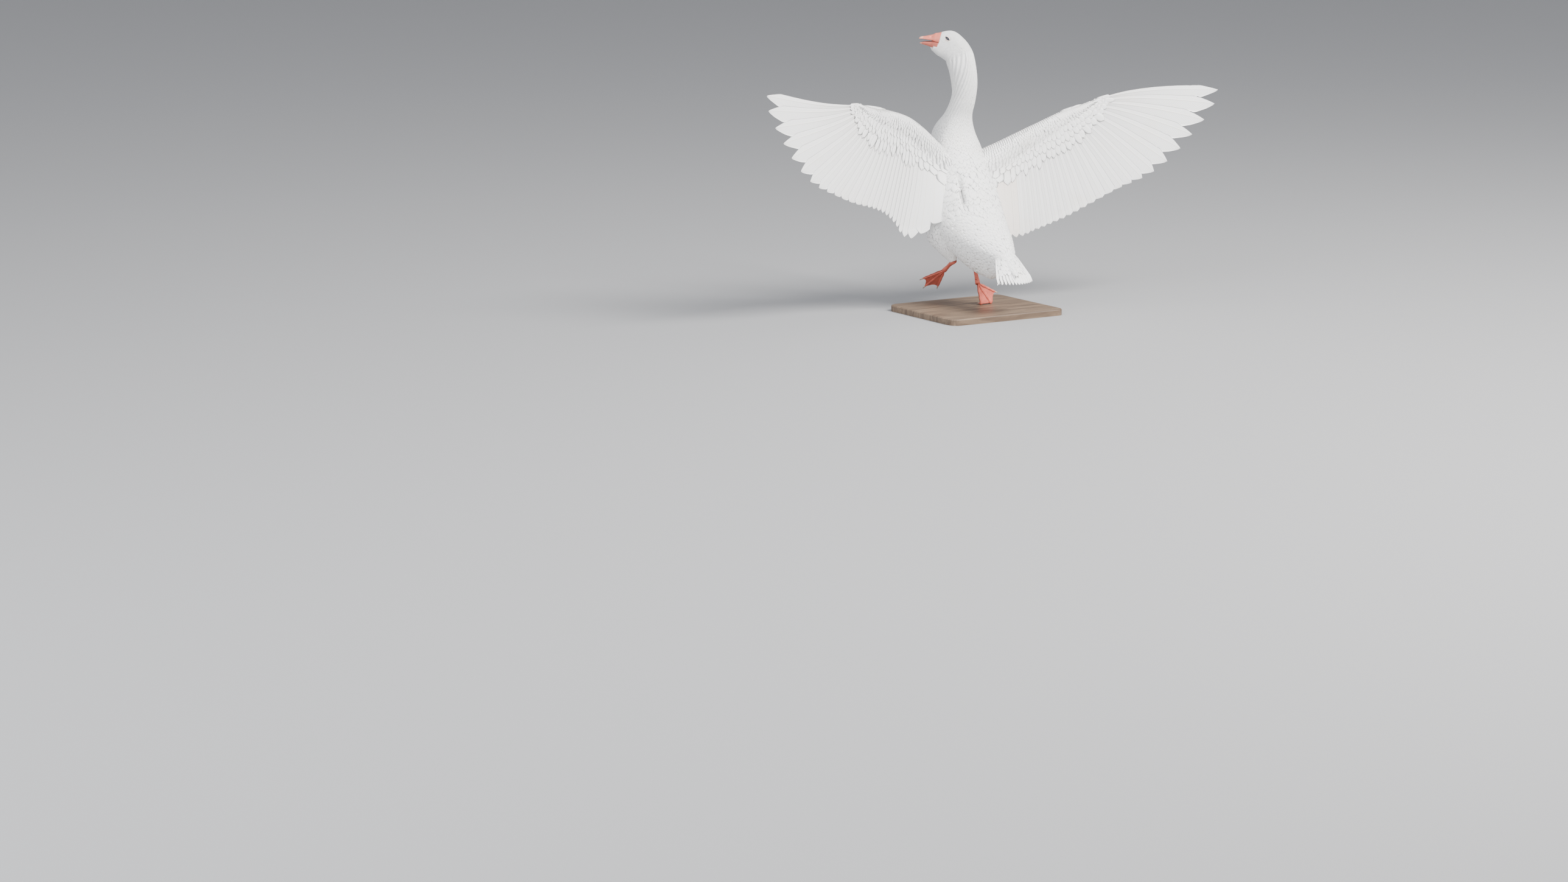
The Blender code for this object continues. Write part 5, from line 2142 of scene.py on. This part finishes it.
    def wing_coverts(self) -> None:
        """Small feathers over the flesh of both faces of both wings, longer in each row backward."""
        vane = Vane(arch=0.04, tilt=0.04)
        greater = Vane(shares=(0.0, 0.3), widths=(0.7, 0.96), tip_from=0.74, tip_power=0.8, columns=5,
                       tilt=0.07, rough_lie=0.03, arch=0.04, thick=0.02)
        for number, wing in enumerate(self.wings):
            for face in Face:
                chance = self._chance(30 + 2 * number + face.value)
                form = WingFace(wing, face)
                piece = Piece(f"coverts_{face.name.lower()}_{wing.hand.value}")
                flesh_share, row = -0.02, 0
                while flesh_share < self.coverts_end:
                    fine = np.linspace(0.1, 28.9, 290)
                    size = np.interp(fine, (0, 19, 29), (1.0, 0.86, 0.52))
                    base = 0.016 + 0.034 * max(flesh_share, 0) ** 1.2
                    reach = max(flesh_share, -0.02) * wing.rows(fine)[:, 5]
                    step = wing.gap_between(fine, reach) * (fine[1] - fine[0])
                    arc = np.cumsum(step / (0.46 * base * size))
                    count = int(arc[-1])
                    at = np.interp((np.arange(count) + 0.5 * (row % 2)) / count * arc[-1], arc, fine)
                    long = base * np.interp(at, fine, size)
                    root = np.column_stack([at, np.interp(at, fine, reach)])
                    lift = pair(-0.055 * long, 0.010 * long)
                    vane.lay(piece, form, root, long, 0.29 * long, lift, 0.0, chance)
                    flesh_share += 0.34 * base / 0.075
                    row += 1
                for tier, (share, long_share, wide, tip) in enumerate(self.greater_tiers):
                    at = np.arange(0.5 - 0.5 * (tier % 2), 28.9)
                    rows = wing.rows(at)
                    long = long_share * rows[:, 3] * np.interp(at, (0, 19, 24, 29), (0.8, 1.0, 0.62, 0.30))
                    root = np.column_stack([at, share * rows[:, 5]])
                    half = wide * wing.gap_between(at, root[:, 1] + 0.6 * long)
                    lift = pair(np.full(len(long), self.greater_root), tip)
                    greater.lay(piece, form, root, long, half, lift, 0.0, chance)
                piece.build(self.white, Slot.FEATHER)

    def flight_feathers(self) -> None:
        """The tertials, secondaries and primaries of both wings, and the alula's three."""
        for number, wing in enumerate(self.wings):
            chance = self._chance(50 + number)
            for name, span in FLIGHT_SPANS.items():
                node = f"{name}_{wing.hand.value}"
                piece = Piece(node)
                for feather in range(*span):
                    at = feather + 0.5
                    notch = float(np.interp(at, NOTCH_COUNTS, NOTCH_DEPTHS))
                    inner = 0.34 if name == "primaries" else 0.16
                    start = 0.30 * float(wing.rows(np.array([at]))[0, 5])
                    order = (feather - span[0], span[1] - span[0])
                    quill = Quill(overlap=1.16, tip_power=0.86) if name == "primaries" else Quill()
                    quill.lay(piece, wing, at, start, notch, inner, order, chance)
                # The right tertials take a darker, warmer white: painted shade and a painted warm reflection.
                finish = self.shade_reflection_white if node == "tertials_right" else self.long_white
                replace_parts(piece.build(finish, Slot.FLIGHT), node)
            self._alula(wing, chance)

    def _alula(self, wing: WingForm, chance: np.random.Generator) -> None:
        """The alula and the small feathers along the hand's leading edge, pointing to the wing's tip.

        Args:
            wing: The wing.
            chance: The seeded source of their small differences.
        """
        node = "alula_" + wing.hand.value
        piece = Piece(node)
        vane = Vane(shares=(0.0, 0.25), widths=(0.6, 0.95), tip_from=0.55, columns=5, arch=0.16, thick=0.08)
        at = np.array([19.2, 19.5, 19.9, 20.4, 22.0, 23.2, 24.4, 25.4, 26.3])
        long = np.array([0.082, 0.068, 0.056, 0.046, 0.044, 0.040, 0.036, 0.030, 0.024])
        reach = np.array([0.0005, 0.0035, 0.0060, 0.0080, 0.0015, 0.0015, 0.0015, 0.0010, 0.0010])
        half = np.array([0.0062, 0.0060, 0.0056, 0.0052, 0.0050, 0.0046, 0.0042, 0.0036, 0.0032])
        for above in (0.0012, 0.0030):
            lift = pair(np.full(len(long), above), above - 0.0008)
            vane.lay(piece, WingEdge(wing), np.column_stack([at, reach]), long, half, lift, 0.0, chance)
        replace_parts(piece.build(self.long_white, Slot.FLIGHT), node)

    def tail_feathers(self) -> None:
        """The tail's long feathers, and the coverts over and under its root."""
        chance = self._chance(70)
        piece = Piece("tail")
        for index, at in enumerate(np.linspace(-0.94, 0.94, self.tail_count)):
            quill = Quill(tilt=0.0012 if at > 0 else -0.0012, overlap=1.5, tip_power=0.62)
            quill.lay(piece, self.tail, float(at), 0.012, 0.012, 0.12, (index, self.tail_count), chance)
        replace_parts(piece.build(self.long_white, Slot.FLIGHT), "tail")
        stern = SternForm(self.tail)
        turn = np.linspace(0, ROUND, 97)
        cover = Piece("coat_stern")
        reach, row = -0.035, 0
        while reach < self.stern_end:
            ring = stern.point(np.full(turn.shape, reach), turn, 0.0)
            root = ring_roots(ring, turn, reach, self.stern_gap, row)
            root = root[(np.sin(root[:, 1]) < 0.2) | (reach < 0.066)]
            length = np.full(len(root), float(np.interp(reach, (-0.035, self.stern_end), (0.032, 0.040))))
            lift = self.plumage.lifts(length)
            Vane().lay(cover, stern, root, length, 0.25 * length, lift, 0.0, chance)
            reach += self.stern_gap
            row += 1
        cover.build(self.white, Slot.FEATHER)


@dataclass(frozen=True)
class Skin:
    """The one skin under the coat: body, thighs, wings' flesh and tail's root, joined without a seam."""

    coat: Coat
    thigh_depths: Sizes = (0.0045, 0.0036, 0.0023, 0.0014)
    wing_depths: tuple[float, float] = (0.0014, 0.0012)
    wing_thinnest: float = 0.0006
    tail_depths: tuple[float, float] = (0.0030, 0.0055)

    def _body(self) -> Piece:
        """The body's surface less the coat's depth, with its rump and muzzle closed.

        Returns:
            The piece.
        """
        body, plumage = self.coat.body, self.coat.plumage
        station = np.concatenate([np.linspace(-1.1, FACE, 150), FACE + 0.5 * np.linspace(0.1, 1, 6)])
        at, turn = grid(station, full_turn(64))
        points = body.point(at, turn, -plumage.skin_depth(at))
        for hand in Hand:
            points = self.coat.eye.socket(self.coat.eye.place(body, hand), points)
        return Piece.tube("skin_body", points, pair(turn / ROUND, (at + 2.5) / 20))

    def _thigh(self, leg: Leg) -> Piece:
        """A thigh's surface less the coat's depth.

        Args:
            leg: The leg.

        Returns:
            The piece.
        """
        form = leg.thigh()
        at, turn = grid(np.linspace(0.1, 2.99, 40), full_turn(32))
        depth = np.interp(at, (0, 1.5, 2.5, 3), self.thigh_depths)
        chart = pair(turn / ROUND, at / 3)
        return Piece.tube("skin_thigh_" + leg.hand.value, form.point(at, turn, -depth), chart)

    def _wing(self, wing: WingForm) -> Piece:
        """A wing's flesh between its faces less the coat's depth.

        Args:
            wing: The wing.

        Returns:
            The piece.
        """
        feather, share = np.meshgrid(np.linspace(0, 28.8, 90), np.linspace(0, 1, 14) ** 1.4)
        rows = wing.rows(feather)
        reach = 0.0012 + share * (rows[..., 5] - 0.003)
        edge, more = self.wing_depths
        half = wing.half(feather, reach) - edge - more * np.sin(math.pi * share)
        half = np.maximum(half, self.wing_thinnest)
        piece = Piece("skin_wing_" + wing.hand.value)
        chart = pair(feather / 30, share)
        upper, lower = wing.point(feather, reach, 0.0, half), wing.point(feather, reach, 0.0, -half)
        piece.add_slab(upper, lower, chart, chart, chart, EVEN_TONE)
        return piece

    def _tail(self) -> Piece:
        """The tail's root less the coat's depth.

        Returns:
            The piece.
        """
        stern = SternForm(self.coat.tail)
        reach, turn = grid(np.linspace(-0.03, 0.085, 20), full_turn(32))
        chart = pair(turn / ROUND, 0.3 + 4 * reach)
        faces, edges = self.tail_depths
        depth = faces * np.abs(np.sin(turn)) + edges * np.abs(np.cos(turn))
        return Piece.tube("skin_tail", stern.point(reach, turn, -depth), chart)

    def make(self, finish: Material) -> None:
        """Joins the parts and stands the skin in for the nodes of flesh.

        Args:
            finish: The skin's material.
        """
        coat = self.coat
        first = self._body().mesh_object(finish)
        others = [self._thigh(leg).mesh_object(finish) for leg in coat.legs]
        others += [self._wing(wing).mesh_object(finish) for wing in coat.wings]
        others.append(self._tail().mesh_object(finish))
        for other in others:
            union = first.modifiers.new(other.name, "BOOLEAN")
            union.operation = "UNION"
            union.solver = "EXACT"
            union.object = other
        graph = bpy.context.evaluated_depsgraph_get()
        mesh = bpy.data.meshes.new_from_object(first.evaluated_get(graph))
        mesh.name = "skin"
        skin = bpy.data.objects.new("skin", mesh)
        bpy.context.collection.objects.link(skin)
        for used in (first, *others):
            bpy.data.objects.remove(used)
        mesh.shade_smooth()
        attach(skin, "root")
        sides = [hand.value for hand in Hand]
        flesh = [f"{part}_{side}" for part in ("thigh", "upper_arm", "forearm", "hand") for side in sides]
        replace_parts(skin, "head", "neck_lower", "neck_upper", "trunk", *flesh)
        LOG.info("skin: %d faces", len(mesh.polygons))


@dataclass(frozen=True)
class Studio:
    """The floor, the light and the camera."""

    shift: Point
    camera_place: Point = (5.63959, 8.04878, 1.55100)
    camera_turn: Point = (78.47511, 0.0, -211.41364)
    lens: float = 69.88
    floor_level: float = -0.020
    floor_reach: float = 45.0
    flat_share: float = 0.6
    bend_radius: float = 14.0
    wall_height: float = 34.0
    key_place: Point = (-1.5, 5.2, 5.4)
    key_power: float = 1560.0
    key_size: float = 3.2
    key_colour: Colour = (1.0, 0.985, 0.96)
    fill_place: Point = (6.0, 3.0, 3.2)
    fill_power: float = 310.0
    fill_size: float = 4.5
    fill_colour: Colour = (0.94, 0.965, 1.0)
    aim: Point = (0.0, 0.0, 0.45)
    sky: float = 1.05
    sky_colour: Colour = (0.93, 0.95, 1.0)

    def make(self) -> None:
        """Sets up the stage."""
        self._floor()
        self._camera()
        self._light("key", self.key_place, self.key_power, self.key_size, self.key_colour)
        self._light("fill", self.fill_place, self.fill_power, self.fill_size, self.fill_colour)
        world = bpy.data.worlds.new("studio")
        world.use_nodes = True
        inputs = world.node_tree.nodes["Background"].inputs
        inputs["Color"].default_value = (*self.sky_colour, 1.0)
        inputs["Strength"].default_value = self.sky
        bpy.context.scene.world = world

    def _floor(self) -> None:
        """A wide floor that rises far behind in a quarter round."""
        count = 24
        reach = self.floor_reach
        bend = np.linspace(0, math.pi / 2, 12)
        end, radius = reach * self.flat_share, self.bend_radius
        level, curve = np.linspace(-reach, end, count), bend[1:]
        run = np.concatenate([level, end + radius * np.sin(curve), [end + radius]])
        high = np.concatenate([0 * level, radius * (1 - np.cos(curve)), [self.wall_height]])
        wide = np.linspace(-reach, reach, 12)
        away = math.radians(self.camera_turn[2] + 90)
        x = run[:, None] * math.cos(away) - wide[None] * math.sin(away)
        y = run[:, None] * math.sin(away) + wide[None] * math.cos(away)
        z = high[:, None] + 0 * wide[None] + self.floor_level
        points = np.stack([x, y, z], axis=-1) + np.array(self.shift)
        mesh = bpy.data.meshes.new("floor")
        mesh.from_pydata(points.reshape(-1, 3).tolist(), [], quads_of(*x.shape).tolist())
        mesh.shade_smooth()
        mesh.materials.append(FloorFinish("floor").make())
        floor = bpy.data.objects.new("floor", mesh)
        bpy.context.collection.objects.link(floor)

    def _camera(self) -> None:
        """The camera."""
        lens = bpy.data.cameras.new("camera")
        lens.lens = self.lens
        lens.sensor_width = 36.0
        lens.clip_end = 200.0
        camera = bpy.data.objects.new("camera", lens)
        camera.location = np.array(self.camera_place) + np.array(self.shift)
        camera.rotation_euler = tuple(math.radians(turn) for turn in self.camera_turn)
        bpy.context.collection.objects.link(camera)
        bpy.context.scene.camera = camera

    def _light(self, name: str, place: Point, power: float, size: float, colour: Colour) -> None:
        """A square light aimed at the goose.

        Args:
            name: The lamp's name.
            place: Where it hangs.
            power: Its watts.
            size: Its side in metres.
            colour: Its colour.
        """
        light = bpy.data.lights.new(name, "AREA")
        light.energy = power
        light.size = size
        light.color = colour
        lamp = bpy.data.objects.new(name, light)
        at = np.array(place)
        aim = unit(np.array(self.aim) - at)
        lamp.location = at + np.array(self.shift)
        lamp.rotation_euler = (math.acos(-aim[2]), 0.0, math.atan2(aim[1], aim[0]) - math.pi / 2)
        bpy.context.collection.objects.link(lamp)


def main() -> None:
    """Builds the goose over its frame, dresses the stand and sets the stage."""
    logging.basicConfig(level=logging.INFO, format="%(name)s: %(message)s")
    low, high = (np.array(corner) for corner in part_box("stand_base"))
    middle = (low + high) / 2
    shift = (float(middle[0] - BASE_MIDDLE[0]), float(middle[1] - BASE_MIDDLE[1]), float(high[2]))
    body = BodyForm(shift)
    wings = (
        WingForm(Hand.LEFT, shift, (0.052, -0.088, 0.500), 11.0, 3.5, 0.045, -0.7, 0.035, 0.10, -0.018),
        WingForm(Hand.RIGHT, shift, (-0.052, -0.088, 0.500), 17.5, 0.0, 0.0, 1.0, 0.0, 0.0, 0.020),
    )
    legs = (
        Leg(Hand.LEFT, shift, ((0.058, -0.052, 0.300), (0.052, -0.044, 0.146), (0.040, -0.110, 0.108)),
            (0.018, -0.026, 0.0), (0.040, 0.056, 0.040, 0.0115), (0.30, -0.72, -0.62), (0.25, 0.60, -0.75)),
        Leg(Hand.RIGHT, shift, ((-0.050, -0.020, 0.270), (-0.045, -0.066, 0.134), (-0.022, -0.010, 0.073)),
            (-0.010, 0.0, 0.0), (0.040, 0.050, 0.034, 0.0115), (-0.60, 0.05, -0.80), (-0.05, 0.99, 0.05)),
    )
    eye = Eye()
    white = FeatherFinish("feather").make()
    plush = FeatherFinish("plush_feather", barbs=26.0, slant=9.0, barb_depth=0.00002, shaft_width=0.01).make()
    flight = FeatherFinish("flight_feather", barbs=260.0, slant=34.0, barb_depth=0.0002, shaft_width=0.035)
    long_white = flight.make()
    # A darker, warmer copy of the flight feathers' white for the right tertials: painted shade and a painted
    # warm reflection.
    shade_reflection_flight = replace(flight, name="shade_reflection_feather", light=(0.90, 0.83, 0.78), shade=(0.79, 0.69, 0.63))
    coat = Coat(body, wings, TailForm(shift), legs, eye, Plumage(), white, plush, long_white, shade_reflection_flight.make())
    Skin(coat).make(SkinFinish("skin").make())
    coat.body_feathers()
    coat.scapulars()
    coat.thigh_feathers()
    coat.wing_coverts()
    coat.flight_feathers()
    coat.tail_feathers()
    horn = HornFinish("bill", (0.58, 0.110, 0.068)).make()
    # The lower mandible takes a darker copy of the horn: painted shade on the bill's underside.
    shaded_lower_horn = HornFinish("bill_under_shaded", (0.50, 0.092, 0.058), nail_from=0.84).make()
    Bill().build(body, horn, shaded_lower_horn, FleshFinish("tongue").make())
    eyeball, lid = EyeFinish("eye").make(), LidFinish("lid").make()
    for hand in Hand:
        place = eye.place(body, hand)
        eye.ball("eye_" + hand.value, place, eyeball)
        eye.lids("lids_" + hand.value, place, lid)
    scaled, claw = LegFinish("leg_skin").make(), ClawFinish("claw").make()
    for leg in legs:
        leg.shank_piece("shank_" + leg.hand.value, scaled)
        leg.foot("foot_" + leg.hand.value, scaled)
        leg.hind_toe("hind_toe_" + leg.hand.value, scaled)
        leg.claws(claw)
    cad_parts["stand_base"].material_slots[0].material = BoardFinish("stand_board").make()
    Studio(shift).make()


if __name__ == "__main__":
    main()
